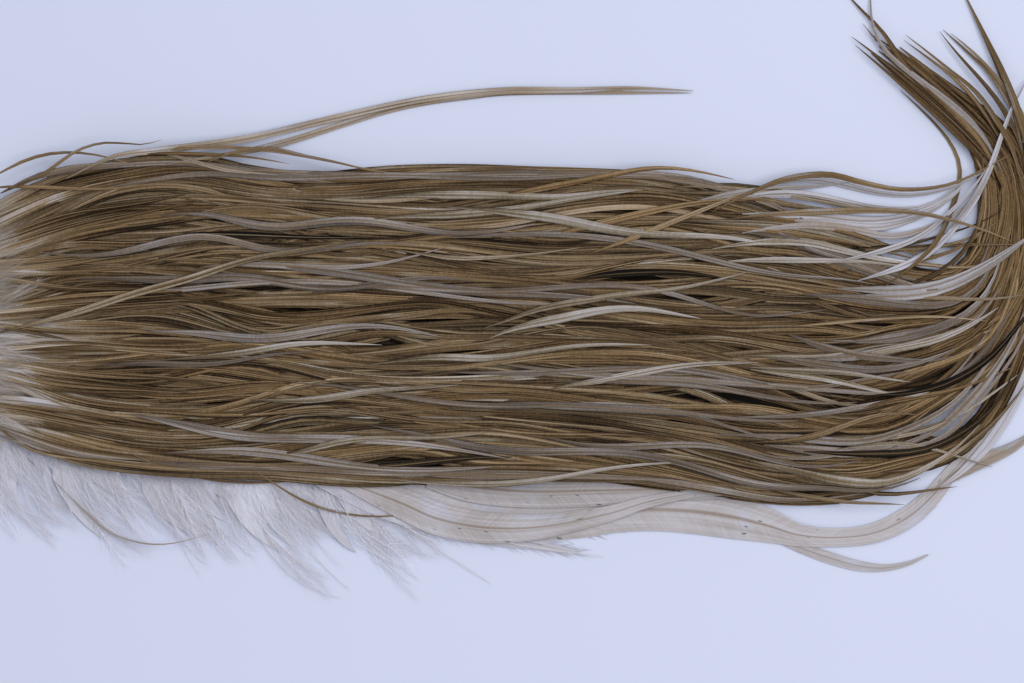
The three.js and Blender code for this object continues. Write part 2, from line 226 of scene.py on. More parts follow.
class Coating:
    """A material with one Principled shader, and the wiring of its tree."""

    def __init__(self, name: str) -> None:
        """Makes the material."""
        self.material = bpy.data.materials.new(name)
        self.material.use_nodes = True
        self.wiring = Wiring(self.material.node_tree)
        self.shader = self.material.node_tree.nodes["Principled BSDF"]

    def paint(self, colour: Socket) -> None:
        """Gives it its colour."""
        self.wiring.feed(self.shader.inputs["Base Color"], colour)

    def polish(self, specular: float, roughness: float, pattern: Socket, swing: float) -> None:
        """Gives it its gloss, with a roughness that a pattern varies by a swing in all."""
        rough = self.wiring.math("MULTIPLY_ADD", pattern, swing, roughness - swing / 2)
        self.wiring.feed(self.shader.inputs["Roughness"], rough)
        self.shader.inputs["Specular IOR Level"].default_value = specular

    def emboss(self, height: Socket, strength: float, relief: float) -> None:
        """Gives it fine relief of a height in metres."""
        inputs = {"Height": height, "Strength": strength, "Distance": relief}
        normal = self.wiring.take("ShaderNodeBump", inputs)
        self.wiring.feed(self.shader.inputs["Normal"], normal)


class VanePlace:
    """A place on a vane as its shader sees it: along it, across it and on its own strand."""

    strand_shift = 7.31
    barbs_across = 0.8

    def __init__(self, wiring: Wiring) -> None:
        """Reads the numbers that the vane's points carry."""
        self.wiring = wiring
        self.along = wiring.named("along")
        self.across = wiring.named("across")
        self.off_stem = wiring.math("ABSOLUTE", self.across)
        self.own = wiring.times(wiring.named("strand"), self.strand_shift)

    def noise(self, lengthwise: float, crosswise: float, detail: float) -> Socket:
        """Noise with one scale for each metre along the strand and one for each half width across."""
        length = self.wiring.times(self.along, lengthwise)
        width = self.wiring.times(self.across, crosswise)
        return self.wiring.noise(self.wiring.vector(length, width, self.own), 1.0, detail)

    def barbs(self, pitch: float, slant: float) -> Socket:
        """Fine barbs at a pitch in metres, which slant back by so many pitches at the vane's edge."""
        back = self.wiring.times(self.off_stem, slant)
        turns = self.wiring.math("SUBTRACT", self.wiring.math("DIVIDE", self.along, pitch), back)
        width = self.wiring.times(self.across, self.barbs_across)
        return self.wiring.noise(self.wiring.vector(turns, width, self.own), 1.0, 1.0)


@dataclass(frozen=True)
class VaneFinish:
    """Satin feather vane: fine barbs on both sides of a stem, in the tone that the strand has."""

    name: str
    cool: Stops
    warm: Stops
    streak: float = 0.6
    streak_scale: Span = (14.0, 1.4)
    line: float = 1.0
    line_scale: Span = (26.0, 3.4)
    # Paler, cooler patches along the strand; fade is how much paler they make the tone
    fade: float = 0.13
    patch_scale: Span = (60.0, 0.4)
    patch_from: Span = (0.56, 0.72)
    patch_cooling: float = 0.5
    # Painted shade: the tone darkens by edge towards the vane's rims, for the shadow lines between strands
    edge: float = -0.15
    edge_shade_from: float = 0.7
    calm: float = 0.35
    calm_tints: Span = (0.58, 0.86)
    stem_share: float = 0.13
    stem_strength: float = 0.5
    stem_tone: Span = (0.3, 0.78)
    fleck: float = 0.0
    fleck_colour: Colour = linear(52, 44, 40)
    fleck_scale: Span = (320.0, 5.0)
    fleck_from: Span = (0.79, 0.83)
    roughness: float = 0.6
    roughness_swing: float = 0.24
    specular: float = 0.05
    barb_pitch: float = 0.5 * MM
    barb_slant: float = 0.9
    barb_tone: float = 0.2
    relief: float = 0.12 * MM
    relief_strength: float = 0.3

    def material(self) -> bpy.types.Material:
        """Builds the material from the strand's own numbers: tint, warmth, along, across, strand."""
        coating = Coating(self.name)
        wiring = coating.wiring
        place = VanePlace(wiring)
        tint = wiring.named("tint")
        streak = place.noise(*self.streak_scale, 3.0)
        line = place.noise(*self.line_scale, 1.0)
        barbs = place.barbs(self.barb_pitch, self.barb_slant)
        pale_patch = wiring.span(place.noise(*self.patch_scale, 2.0), *self.patch_from, 0.0, 1.0)
        texture = wiring.swing(streak, self.streak)
        for pattern, strength in ((line, self.line), (barbs, self.barb_tone)):
            texture = wiring.math("ADD", texture, wiring.swing(pattern, strength))
        calm = wiring.span(tint, *self.calm_tints, 1.0, self.calm)
        tone = wiring.math("MULTIPLY_ADD", texture, calm, tint)
        tone = wiring.math("MULTIPLY_ADD", pale_patch, self.fade, tone)
        # Painted shade towards the vane's rims
        tone = wiring.math("ADD", tone, wiring.span(place.off_stem, self.edge_shade_from, 1.0, 0.0, self.edge))
        warmth = wiring.math("MULTIPLY_ADD", pale_patch, -self.patch_cooling, wiring.named("warmth"))
        colour = wiring.toned(tone, warmth, self.cool, self.warm)
        if self.fleck:
            spot = wiring.span(place.noise(*self.fleck_scale, 0.0), *self.fleck_from, 0.0, self.fleck)
            colour = wiring.mix(spot, colour, self.fleck_colour)
        near, far = self.stem_share * 0.4, self.stem_share * 1.5
        on_stem = wiring.span(place.off_stem, near, far, self.stem_strength, 0.0)
        low, high = self.stem_tone
        stem_tone = wiring.math("MULTIPLY_ADD", wiring.math("FRACT", place.own), high - low, low)
        coating.paint(wiring.mix(on_stem, colour, wiring.ramp(stem_tone, GINGER)))
        coating.polish(self.specular, self.roughness, streak, self.roughness_swing)
        height = wiring.math("MULTIPLY_ADD", line, 0.8, wiring.times(barbs, 0.25))
        coating.emboss(height, self.relief_strength, self.relief)
        return coating.material


@dataclass(frozen=True)
class BarbFinish:
    """Loose barbs, as on webby feathers and down, along a darker shaft."""

    name: str
    cool: Stops
    warm: Stops
    shaft: Colour
    roughness: float
    roughness_swing: float = 0.2
    specular: float = 0.2
    cloud: float = 0.3
    cloud_scale: Span = (110.0, 1.4)

    def material(self) -> bpy.types.Material:
        """Builds the material from the barbs' numbers: tint, warmth, out, side, along and strand."""
        coating = Coating(self.name)
        wiring = coating.wiring
        lengthwise, outwards = self.cloud_scale
        length = wiring.times(wiring.named("along"), lengthwise)
        out = wiring.times(wiring.named("out"), outwards)
        cloud = wiring.noise(wiring.vector(length, out, wiring.named("strand")), 1.0)
        tone = wiring.math("ADD", wiring.named("tint"), wiring.swing(cloud, self.cloud))
        colour = wiring.toned(tone, wiring.named("warmth"), self.cool, self.warm)
        on_shaft = wiring.span(wiring.named("side"), 0.5, 0.9, 1.0, 0.0)
        coating.paint(wiring.mix(on_shaft, colour, self.shaft))
        coating.polish(self.specular, self.roughness, cloud, self.roughness_swing)
        return coating.material


@dataclass(frozen=True)
class SkinFinish:
    """Thin dried skin: yellowish tan, a little wrinkled, with rows of quill bumps."""

    name: str = "dried_skin"
    tan: Stops = tones((0.3, 166, 136, 100), (0.55, 196, 170, 132), (0.75, 220, 202, 170))
    stain: Colour = linear(128, 96, 66)
    stain_strength: float = 0.35
    cloud_scale: float = 60.0
    wrinkle_scale: float = 420.0
    quill_pitch: float = 3.2 * MM
    quill_size: Span = (0.12, 0.3)
    roughness: float = 0.6
    roughness_swing: float = 0.3
    specular: float = 0.5
    relief: float = 0.25 * MM
    relief_strength: float = 0.5

    def material(self) -> bpy.types.Material:
        """Builds the material on object coordinates."""
        coating = Coating(self.name)
        wiring = coating.wiring
        place = wiring.add("ShaderNodeTexCoord").outputs["Object"]
        cloud = wiring.noise(place, self.cloud_scale, 4.0)
        wrinkle = wiring.noise(place, self.wrinkle_scale, 5.0)
        quills = wiring.add("ShaderNodeTexVoronoi", {"Vector": place, "Scale": 1 / self.quill_pitch})
        bumps = wiring.span(quills.outputs["Distance"], *self.quill_size, 1.0, 0.0)
        stain = wiring.times(bumps, self.stain_strength)
        coating.paint(wiring.mix(stain, wiring.ramp(cloud, self.tan), self.stain))
        coating.polish(self.specular, self.roughness, wrinkle, self.roughness_swing)
        height = wiring.math("MULTIPLY_ADD", wrinkle, 0.6, bumps)
        coating.emboss(height, self.relief_strength, self.relief)
        return coating.material


@dataclass(frozen=True)
class VaneSizes:
    """Sizes of a vane's section, as shares of half its width."""

    section_points: int = 8
    vane_thickness: float = 0.05
    stem_width: float = 0.4
    stem_height: float = 0.1
    fold: float = 0.12


@dataclass(frozen=True)
class BarbSizes:
    """Sizes of loose barbs: spacing in metres, angles in radians, the rest as shares of their length."""

    spacing: float = 0.3 * MM
    barb_width: float = 0.0075
    turn_spread: float = 0.42
    lift_spread: float = 0.1
    bend: float = 0.12
    sag: float = 0.05
    shortening: float = 0.55
    barb_points: int = 3
    seed: int = 21


Sizes = VaneSizes | BarbSizes


def inputs_of(sizes: Sizes) -> dict[str, float]:
    """The sizes under the names that a tree's inputs have, such as Barb Width."""
    return {name.replace("_", " ").title(): size for name, size in asdict(sizes).items()}


@dataclass(frozen=True)
class Coat:
    """What the pieces of one kind have in common: finish, slot and sizes."""

    finish: VaneFinish | BarbFinish
    slot: Slot
    sizes: Sizes


BROAD_VANE = VaneSizes(section_points=20, vane_thickness=0.016, stem_width=0.08, stem_height=0.03, fold=0.03)


class Look(Enum):
    """The kinds of feather pieces."""

    FIRM = Coat(VaneFinish("hackle_vane", GREY, GINGER), Slot.HACKLE, VaneSizes())
    SHEER = Coat(
        VaneFinish(
            "sheer_vane", LAVENDER, STRAW, streak=0.5, line=0.8, fade=0.05, edge=-0.14, calm=0.5,
            stem_share=0.16, stem_strength=0.6, stem_tone=(0.35, 0.6),
        ),
        Slot.HACKLE,
        VaneSizes(),
    )
    WEBBY = Coat(
        VaneFinish(
            "webby_vane", LAVENDER, STRAW, streak=0.24, line=0.5, line_scale=(26.0, 7.0), fade=0.03,
            edge=0.0, calm=0.6, stem_share=0.08, stem_strength=0.55, stem_tone=(0.5, 0.62), fleck=0.7,
            roughness=0.8, barb_pitch=0.7 * MM, barb_slant=6.0, barb_tone=0.26,
        ),
        Slot.WEBBY,
        BROAD_VANE,
    )
    DOWN_WEB = Coat(
        VaneFinish(
            "down_web", VEIL, CREAM, streak=0.4, line=0.3, line_scale=(26.0, 3.0), fade=0.0, edge=0.0,
            calm=1.0, stem_share=0.05, stem_strength=0.0, stem_tone=(0.4, 0.5), roughness=0.9,
            barb_slant=7.0, barb_tone=0.6,
        ),
        Slot.DOWN,
        BROAD_VANE,
    )
    FRINGE = Coat(
        BarbFinish("web_fringe", LAVENDER, STRAW, linear(150, 130, 104), roughness=0.65),
        Slot.WEBBY,
        BarbSizes(
            spacing=0.5 * MM, barb_width=0.03, turn_spread=0.16, lift_spread=0.03, bend=0.16, sag=0.02,
            shortening=0.3, barb_points=4, seed=11,
        ),
    )
    DOWN = Coat(
        BarbFinish("down_barbs", WHITE, CREAM, linear(210, 208, 214), roughness=0.9),
        Slot.DOWN,
        BarbSizes(),
    )
    COVER_DOWN = Coat(
        BarbFinish("cream_barbs", ASH, SAND, linear(168, 152, 128), roughness=0.9, cloud=0.5),
        Slot.DOWN,
        BarbSizes(barb_width=0.009, turn_spread=0.24, bend=0.1, sag=0.04, shortening=0.5, seed=31),
    )


# Ribs are lines across the mantle, in millimetres: the inner, middle and outer point of each, and
# the heights of the bed under the feathers and of the tops of the lower and the upper layer.
ON_SKIN = 1.5
ON_SURFACE = 0.15
RIBS = np.array([
    (-30, 22, -31, 0, -30, -22, ON_SKIN, 3.4, 5.4),
    (-10, 35.5, -10, 1, -10, -27.5, ON_SKIN, 4.3, 7.4),
    (10, 41.5, 10, 2, 10, -34.5, ON_SKIN, 4.6, 8.1),
    (40, 43.5, 40, 2, 40, -37.5, ON_SKIN, 4.4, 7.8),
    (64, 40, 64, 1.5, 64, -38, ON_SURFACE, 3.2, 6.7),
    (95, 40, 95, 1, 95, -39.5, ON_SURFACE, 3.1, 6.4),
    (130, 40.5, 130, 0, 130, -40, ON_SURFACE, 3, 6.1),
    (165, 39.5, 165, -2, 167, -42, ON_SURFACE, 2.8, 5.7),
    (190, 33, 193, -6, 197, -46.5, ON_SURFACE, 2.5, 5),
    (205, 25.5, 213.5, -8, 220, -44.5, ON_SURFACE, 2.3, 4.5),
    (219.5, 17.5, 230, -6.5, 238, -36, ON_SURFACE, 2.2, 4.3),
    (232, 12.5, 243, -1.5, 251, -20, ON_SURFACE, 2.2, 4.3),
    (242.5, 14.5, 251.5, 8, 260, -3, ON_SURFACE, 2.2, 4.3),
    (246.8, 25, 255.5, 21.5, 264, 14, ON_SURFACE, 2.2, 4.3),
    (247.3, 38, 256, 38, 264.5, 33, ON_SURFACE, 2.2, 4.2),
    (243.5, 47, 250.5, 50.5, 258, 50.5, ON_SURFACE, 2, 3.9),
    (235, 55.5, 240, 60, 246, 63, ON_SURFACE, 1.8, 3.4),
    (225, 64.5, 229, 68.5, 233, 71, ON_SURFACE, 1.5, 2.8),
    (215.5, 73, 219, 76.5, 223, 79, ON_SURFACE, 1.2, 2.2),
])
BED, LOWER_TOP, UPPER_TOP = 6, 7, 8
LAST_RIB = len(RIBS) - 1
TAIL_START_RIB = 8
TAIL_FAN_RIB = 16
TAIL_LOCK_END = 13
TAIL_NARROWING = 0.68
TAPER_RIBS = 3.2
GAP = 0.35
BED_GAP = 0.15
BESIDE = 0.3
LEAST_HEIGHT = 0.1 * MM


def rise(value: Array, start: float, reach: float) -> Array:
    """0 up to a start, then evenly up to 1 over a reach."""
    return np.clip((value - start) / reach, 0, 1)


def fall(value: Array, reach: float) -> Array:
    """1 at nothing, then evenly down to 0 over a reach."""
    return np.clip(1 - value / reach, 0, 1)


def bell(offset: Array, reach: float) -> Array:
    """1 at no offset, and softly less to both sides."""
    return np.exp(-((offset / reach) ** 2))


def smooth(table: Array, at: Array) -> Array:
    """Reads a table between its rows along a smooth curve through them.

    Args:
        table: One row for each whole number.
        at: Where to read it.

    Returns:
        The rows at those places.
    """
    at = np.clip(at, 0, len(table) - 1.0001)
    row = np.floor(at).astype(int)
    part = (at - row).reshape(-1, *[1] * (table.ndim - 1))
    last = len(table) - 1
    before, here = table[np.maximum(row - 1, 0)], table[row]
    after, later = table[np.minimum(row + 1, last)], table[np.minimum(row + 2, last)]
    slope = (after - before) / 2
    next_slope = (later - here) / 2
    return (
        here * (1 + 2 * part) * (1 - part) ** 2
        + after * part**2 * (3 - 2 * part)
        + slope * part * (1 - part) ** 2
        - next_slope * part**2 * (1 - part)
    )


def distance_along(points: Array) -> Array:
    """Distance from the first point, along a line."""
    steps = np.linalg.norm(np.diff(points, axis=0), axis=1)
    return np.concatenate([[0], np.cumsum(steps)])


def evenly(points: Array, step: float) -> Array:
    """Points at even steps along a line of straight pieces."""
    gone = distance_along(points)
    places = np.linspace(0, gone[-1], max(6, round(gone[-1] / step) + 1))
    return np.stack([np.interp(places, gone, column) for column in points.T], axis=1)


def eased(points: Array, reach: float, step: float) -> Array:
    """Takes the kinks out of a line and spaces its points evenly.

    Args:
        points: The line.
        reach: Over what distance the kinks are spread.
        step: The distance between the new points.

    Returns:
        The smoother line, with the same ends.
    """
    fine = evenly(points, 1.5)
    count = min(round(2 * reach), len(fine) - 2)
    weights = np.exp(-0.5 * (np.arange(-count, count + 1) * 1.5 / reach) ** 2)
    before = 2 * fine[0] - fine[count:0:-1]
    after = 2 * fine[-1] - fine[-2 : -count - 2 : -1]
    padded = np.concatenate([before, fine, after])
    soft = [np.convolve(column, weights / weights.sum(), "valid") for column in padded.T]
    return evenly(np.stack(soft, axis=1), step)


def curve_through(points: Route | Array, step: float) -> Array:
    """Points at even steps on a smooth curve through a few given points."""
    table = np.array(points, float)
    return evenly(smooth(table, np.linspace(0, len(table) - 1, 24 * len(table))), step)


def aside_of(line: Array) -> Array:
    """The unit direction to the left of a line in plan, at each of its points."""
    heading = np.gradient(line[:, :2], axis=0)
    heading /= np.linalg.norm(heading, axis=1, keepdims=True)
    return np.stack([-heading[:, 1], heading[:, 0]], axis=1)


class Sway:
    """A smooth wander, as the sum of three waves."""

    def __init__(self, rng: Rng, reach: float, waves: Span) -> None:
        """Draws the waves.

        Args:
            rng: The seeded source of chance.
            reach: About how far it strays.
            waves: Shortest and longest wavelength.
        """
        self.waves = [(rng.uniform(*waves), rng.normal(0, reach * 0.6), rng.random()) for _ in range(3)]

    def at(self, place: Array) -> Array:
        """How far it strays at each place."""
        return sum(size * np.sin(2 * math.pi * (place / length + turn)) for length, size, turn in self.waves)


def wander(rng: Rng, gone: Array, reach: float, waves: Span) -> Array:
    """A strand's own wander at each distance from its root."""
    return Sway(rng, reach, waves).at(gone)


@dataclass(frozen=True)
class Parting:
    """A long narrow opening between the upper strands, in which the strands below are darkened with painted
    shade.
    """

    x: float
    y: float
    angle: float
    length: float
    opening: float

    def _near(self, plan: Array, fade: float) -> tuple[Array, Array, Array]:
        """How near places are to it from 0 to 1, how far aside, and which way aside is."""
        turn = math.radians(self.angle)
        along = np.array([math.cos(turn), math.sin(turn)])
        aside = np.array([-along[1], along[0]])
        away = plan - (self.x, self.y)
        near = np.exp(-((away @ along / self.length) ** 2) - np.abs(away @ aside) / fade)
        return near, away @ aside, aside

    def push(self, plan: Array) -> Array:
        """How far it moves places aside, in millimetres."""
        near, off, aside = self._near(plan, 4.0)
        return np.outer(np.tanh(off / 0.25) * near * (self.opening + 1.8) / 2, aside)

    def shade(self, plan: Array) -> Array:
        """How deep in its shade places are, from 0 to 1."""
        return self._near(plan, 1.8)[0]


PARTINGS = tuple(Parting(*row) for row in (
    (141, 23.5, -2, 11, 1.9), (161.5, 22.4, -1, 8, 1.6), (69, 23.0, 2, 13, 1.8),
    (98, -35.5, 5, 24, 5.0), (158, 13.2, 1, 14, 1.4), (205, -31.5, 0, 22, 2.2), (30, 24, 10, 16, 1.2),
    (88, -3, -3, 16, 1.2), (120, -12, 3, 14, 1.2), (186, 8, -2, 14, 1.2), (48, -14, 2, 14, 1.3),
    (108, 33, 0, 16, 1.2), (180, -18, -3, 16, 1.2), (76, -3.6, 2, 9, 1.3), (149, 12.8, -2, 6, 1.2),
    (40, 9, 3, 16, 1.0), (112, 4, -2, 18, 1.0), (128, -27, 2, 18, 1.1), (66, -26, 3, 16, 1.1),
))


@dataclass(frozen=True)
class Opening:
    """A long opening through both layers, by its middle rib and share and its reach along."""

    rib: float
    share: float
    slope: float
    reach: float
    half: float

    def clear(self, rib: Array, share: Array) -> Array:
        """Keeps a strand on its own side of the opening.

        Args:
            rib: The ribs that the strand passes.
            share: Its share across at each of them.

        Returns:
            The shares with the opening left free.
        """
        middle = self.share + self.slope * (rib - self.rib)
        side = 1.0 if np.interp(self.rib, rib, share) > self.share else -1.0
        half = self.half * np.clip(1 - ((rib - self.rib) / self.reach) ** 2, 0, 1)
        off = side * (share - middle)
        return middle + side * np.where(half > 0, np.maximum(off, half + 0.15 * np.abs(off)), off)


# The table shows through it near the outer edge of the bend
THROUGH = Opening(10.5, 0.885, 0.055, 1.2, 0.12)


class Mantle:
    """Places in the mantle by rib number along it and share across it."""

    def __init__(self) -> None:
        """Prepares the coarse net by which a place on the table finds its rib."""
        rib, share = np.meshgrid(np.linspace(0, LAST_RIB, 260), np.linspace(0, 1, 60))
        self.net_rib, self.net_share = rib.ravel(), share.ravel()
        self.net = self.place(self.net_rib, self.net_share)

    @staticmethod
    def place(rib: Array, share: Array) -> Array:
        """Plan positions on the curve through a rib's three points."""
        row = smooth(RIBS, rib)
        share = np.reshape(share, (-1, 1))
        return (
            2 * (share - 0.5) * (share - 1) * row[:, 0:2]
            - 4 * share * (share - 1) * row[:, 2:4]
            + 2 * share * (share - 0.5) * row[:, 4:6]
        )

    @staticmethod
    def length(rib: Array) -> Array:
        """A rib's length from edge to edge."""
        row = smooth(RIBS, rib)
        halves = (row[:, 2:4] - row[:, 0:2], row[:, 4:6] - row[:, 2:4])
        return sum(np.linalg.norm(half, axis=1) for half in halves)

    def nearest(self, place: Array) -> tuple[float, float, float]:
        """The rib and share nearest to a place in plan, and how far off they are."""
        away = np.hypot(*(self.net - place).T)
        at = int(np.argmin(away))
        return self.net_rib[at], self.net_share[at], away[at]

    def top(self, plan: Array) -> Array:
        """Height of the mantle's top under plan positions, or of the table beside it."""
        heights = []
        for place in plan:
            rib, _, away = self.nearest(place)
            over = smooth(RIBS, np.array([rib]))[0, UPPER_TOP]
            heights.append(BESIDE + (over - BESIDE) * max(0.0, 1 - max(0.0, away - 1) / 9))
        return np.array(heights)


@dataclass
class Strand:
    """One feather as a line, with numbers at each of its points in millimetres and radians."""

    points: Array
    width: Array
    tint: Array
    warmth: Array
    roll: Array
    reach: Array | None = None
    turn: Array | None = None


def vane_width(
    gone: Array, full: float, taper: float, root: Span = (0.5, 30), tip: float = 0.07
) -> Array:
    """Half width of a hackle: nearly parallel, then running out to a fine tip.

    Args:
        gone: Distance from the root at each point.
        full: The full width.
        taper: The length over which it runs out.
        root: The share of the width that it starts with, and the length in which a whole width comes.
        tip: The share of the width at the tip.

    Returns:
        Half the width at each point.
    """
    left = rise(gone[-1] - gone, 0, taper)
    start = np.clip(root[0] + gone / root[1], 0, 1)
    return 0.5 * full * start * (tip + (1 - tip) * left**0.75)


@dataclass
class Layer:
    """One layer of locks, with the rib where each lock ends, from the inner edge to the outer."""

    name: str
    ends: tuple[int, ...]
    lock_width: float
    low: int
    high: int
    strands: int
    wisps: int
    depth: float
    tint: float
    widths: tuple[float, float]
    shares: Array = field(init=False)

    def __post_init__(self) -> None:
        """Works out the share of every rib that each lock takes."""
        self.shares = np.stack([self._share_rib(rib) for rib in range(LAST_RIB + 1)])

    def _share_rib(self, rib: int) -> Array:
        """The locks' two edges on one rib; they fill it, but in the tail the outer gaps open."""
        length = Mantle.length(np.array([rib]))[0]
        ends = np.array(self.ends)
        number = np.arange(len(ends))
        tail = max(0.0, (rib - TAIL_START_RIB) / (LAST_RIB - TAIL_START_RIB))
        own = self.lock_width * (1 + 0.22 * np.sin(2.4 * number + 1)) * (1 - TAIL_NARROWING * tail)
        widths = own * np.clip((ends - rib) / TAPER_RIBS, 0, 1) ** 0.7
        room = length - GAP * (len(ends) - 1)
        fill = room / max(widths.sum(), 1e-6)
        scale = fill if rib < TAIL_FAN_RIB else min(1.0, fill)
        weights = np.where(number < len(ends) - 1, number + 1.0, 0)
        spaces = GAP + (room - widths.sum() * scale) * weights / weights.sum()
        starts = np.concatenate([[0], np.cumsum(widths * scale + spaces)[:-1]])
        return np.stack([starts, starts + widths * scale], axis=1) / length

    def middle(self, lock: int, rib: Array) -> tuple[Array, Array]:
        """The middle of a lock and half its width, as shares of the ribs."""
        edges = smooth(self.shares[:, lock], rib)
        return edges.mean(axis=1), (edges[:, 1] - edges[:, 0]) / 2

    def lock_at(self, rib: float, share: float) -> int:
        """The number of the lock that is nearest to a place."""
        edges = smooth(self.shares, np.array([rib]))[0]
        open_locks = np.where(np.array(self.ends) > rib, 0, 9)
        return int(np.argmin(np.abs(edges.mean(axis=1) - share) + open_locks))


# The under layer's low tint is painted shade: its feathers are coloured like the upper ones, but lie in
# their shade
UNDER = Layer(
    "under_lock", (9, 11, 18, 10, 17, 9, 18, 11, 16, 18, 10, 10), lock_width=8, low=BED, high=LOWER_TOP,
    strands=14, wisps=2, depth=1.8, tint=0.12, widths=(3.0, 4.6),
)
TOP = Layer(
    "top_lock", (8, 7, 10, 18, 9, 18, 11, 17, 8, 18, 10, 16, 7, 17, 9, 8), lock_width=6, low=LOWER_TOP,
    high=UPPER_TOP, strands=14, wisps=3, depth=1.3, tint=0.34, widths=(1.6, 3.0),
)


class Wisp:
    """A few strands of a lock that run together, and their shared wander by rib number."""

    def __init__(self, rng: Rng, place: float, half: float) -> None:
        """Draws its wander.

        Args:
            rng: The seeded source of chance.
            place: Its middle across the lock, from -1 to 1.
            half: Half its width on the same scale.
        """
        self.place = place
        self.half = half
        self.aside = Sway(rng, 1.4, (1.6, 5.0))
        self.pinch = Sway(rng, 0.35, (0.9, 2.6))
        self.lift = Sway(rng, 0.4, (2.5, 6.0))
        self.tint = rng.normal(0, 0.035)
        self.warmth = rng.normal(0, 0.07)


@dataclass
class LockMaker:
    """Makes the strands of one lock. Lengths are in millimetres, and places along it in ribs."""

    step: float = 5.0
    readings: int = 90
    starts: Span = (0.0, 0.5)
    lower_starts: Span = (0.2, 1.4)
    often_short: float = 0.4
    most_short: float = 2.6
    most_short_in_tail: float = 5.5
    least_room: float = 2.4
    least_room_in_tail: float = 0.5
    long_waves: Span = (50, 160)
    lean: float = 0.9
    crossing_share: float = 0.16
    crossing: float = 2.8
    tail_pull: float = 0.36
    root_slope: float = 14.0
    softness: float = 7.0
    taper: Span = (45, 90)
    broad_share: float = 0.2
    broader: float = 1.35
    slimmer_in_tail: float = 0.9
    pale_share: float = 0.1
    long_root_share: float = 0.2
    warmth: float = 0.68
    # The border and bend tones lift dark strands near the mantle's border and in the bend, where the lower
    # layer lies open, so its painted shade is taken off there
    border_reach: float = 5.5
    border_tone: float = 0.4
    bend_tone: float = 0.38
    # How much the lower strands are darkened in a parting's shade: painted shade
    painted_shade_depth: float = 0.45
    root_tone: float = 0.8
    root_warmth: float = 0.35

    def strands(self, layer: Layer, lock: int) -> list[Strand]:
        """All strands of a lock.

        Args:
            layer: The layer that the lock is in.
            lock: Its number from the inner edge, from 0.

        Returns:
            The strands.
        """
        rng = np.random.default_rng(Seed.LAYER * layer.high + lock)
        wisps = [Wisp(rng, place, 1.5 / layer.wisps) for place in np.linspace(-0.7, 0.7, layer.wisps)]
        levels = rng.permutation(np.linspace(0, 1, layer.strands))
        return [
            self._strand(rng, layer, lock, wisps[number % layer.wisps], level)
            for number, level in enumerate(levels)
        ]

    def _strand(self, rng: Rng, layer: Layer, lock: int, wisp: Wisp, level: float) -> Strand:
        """One strand of a wisp, at a level in the lock's height from 0 to 1."""
        end = layer.ends[lock]
        in_tail = end > TAIL_LOCK_END
        start = rng.uniform(*self.starts) + (1 - level) * rng.uniform(*self.lower_starts)
        most_short = self.most_short_in_tail if in_tail else self.most_short
        rib = np.linspace(start, end - rng.triangular(0.0, self.often_short, most_short), self.readings)
        share, gone = self._course(rng, layer, lock, wisp, rib)
        plan = Mantle.place(rib, share)
        plan[:, 1] += gather(plan)
        shade = np.zeros(len(rib))
        if layer is TOP:
            plan = plan + sum(parting.push(plan) for parting in PARTINGS)
        else:
            shade = np.clip(sum(parting.shade(plan) for parting in PARTINGS), 0, 1)
        lifted = np.clip(0.72 * level + 0.28 * (0.5 + wisp.lift.at(rib)), 0, 1)
        height = self._height(layer, rib, gone, lifted)
        line = eased(np.column_stack([plan, np.maximum(height, 0.25)]), self.softness, self.step)
        border = bell(np.minimum(share, 1 - share) * Mantle.length(rib), self.border_reach)
        at, before = np.linspace(0, 1, len(line)), np.linspace(0, 1, len(rib))
        marks = [np.interp(at, before, mark) for mark in (border, shade)]
        return self._dress(rng, line, layer, in_tail, level, wisp, *marks)

    def _course(
        self, rng: Rng, layer: Layer, lock: int, wisp: Wisp, rib: Array
    ) -> tuple[Array, Array]:
        """A strand's share across at each rib that it passes, and about how far it has gone there."""
        end = layer.ends[lock]
        middle, half = layer.middle(lock, np.minimum(rib, end - 1.2))
        length = Mantle.length(rib)
        least = self.least_room_in_tail if end > TAIL_LOCK_END else self.least_room
        spread = np.maximum(half, least / length)
        gone = distance_along(Mantle.place(rib, middle))
        place = wisp.place + rng.uniform(-1, 1) * wisp.half * (1 + wisp.pinch.at(rib))
        aside = wisp.aside.at(rib) + wander(rng, gone, 0.45, self.long_waves) + self._flow(rib, middle)
        aside += rng.normal(0, self.lean) * (gone / 150 - 0.7)
        if layer is TOP and rng.random() < self.crossing_share:
            turn = rng.uniform(20, max(gone[-1] - 20, 30))
            aside += rng.normal(0, self.crossing) * np.tanh((gone - turn) / rng.uniform(14, 34))
        calm = np.clip(1.4 - rise(rib, 11, 4), 0, 1) * np.clip(gone / 40, 0.15, 1)
        edge = np.clip(np.minimum(middle, 1 - middle) * length / 6 + 0.35, 0, 1)
        share = middle + place * spread + aside * calm * edge / length
        inner, outer = rng.uniform(0, 0.03, 2)
        share = np.clip(share, inner, 1.01 - outer)
        return THROUGH.clear(rib, share * (1 - self.tail_pull * rise(rib, 13.5, 2.5))), gone

    def _height(self, layer: Layer, rib: Array, gone: Array, lifted: Array) -> Array:
        """Heights in a layer, which is thin at the roots, for how lifted a strand is from 0 to 1."""
        row = smooth(RIBS, rib)
        low = row[:, layer.low] + (GAP if layer is TOP else BED_GAP)
        thick = np.maximum(row[:, layer.high] - low - 0.2, 0.5) * (1 - np.exp(-gone / self.root_slope))
        return low + thick - np.minimum(thick, layer.depth) * (1 - lifted)

    @staticmethod
    def _flow(rib: Array, share: Array) -> Array:
        """The sway that neighbouring strands share, in millimetres."""
        return (
            1.3 * np.sin(0.9 * rib + 6.0 * share)
            + 1.1 * np.sin(1.7 * rib - 13.0 * share + 1.0)
            + 0.7 * np.sin(3.1 * rib + 27.0 * share)
        )

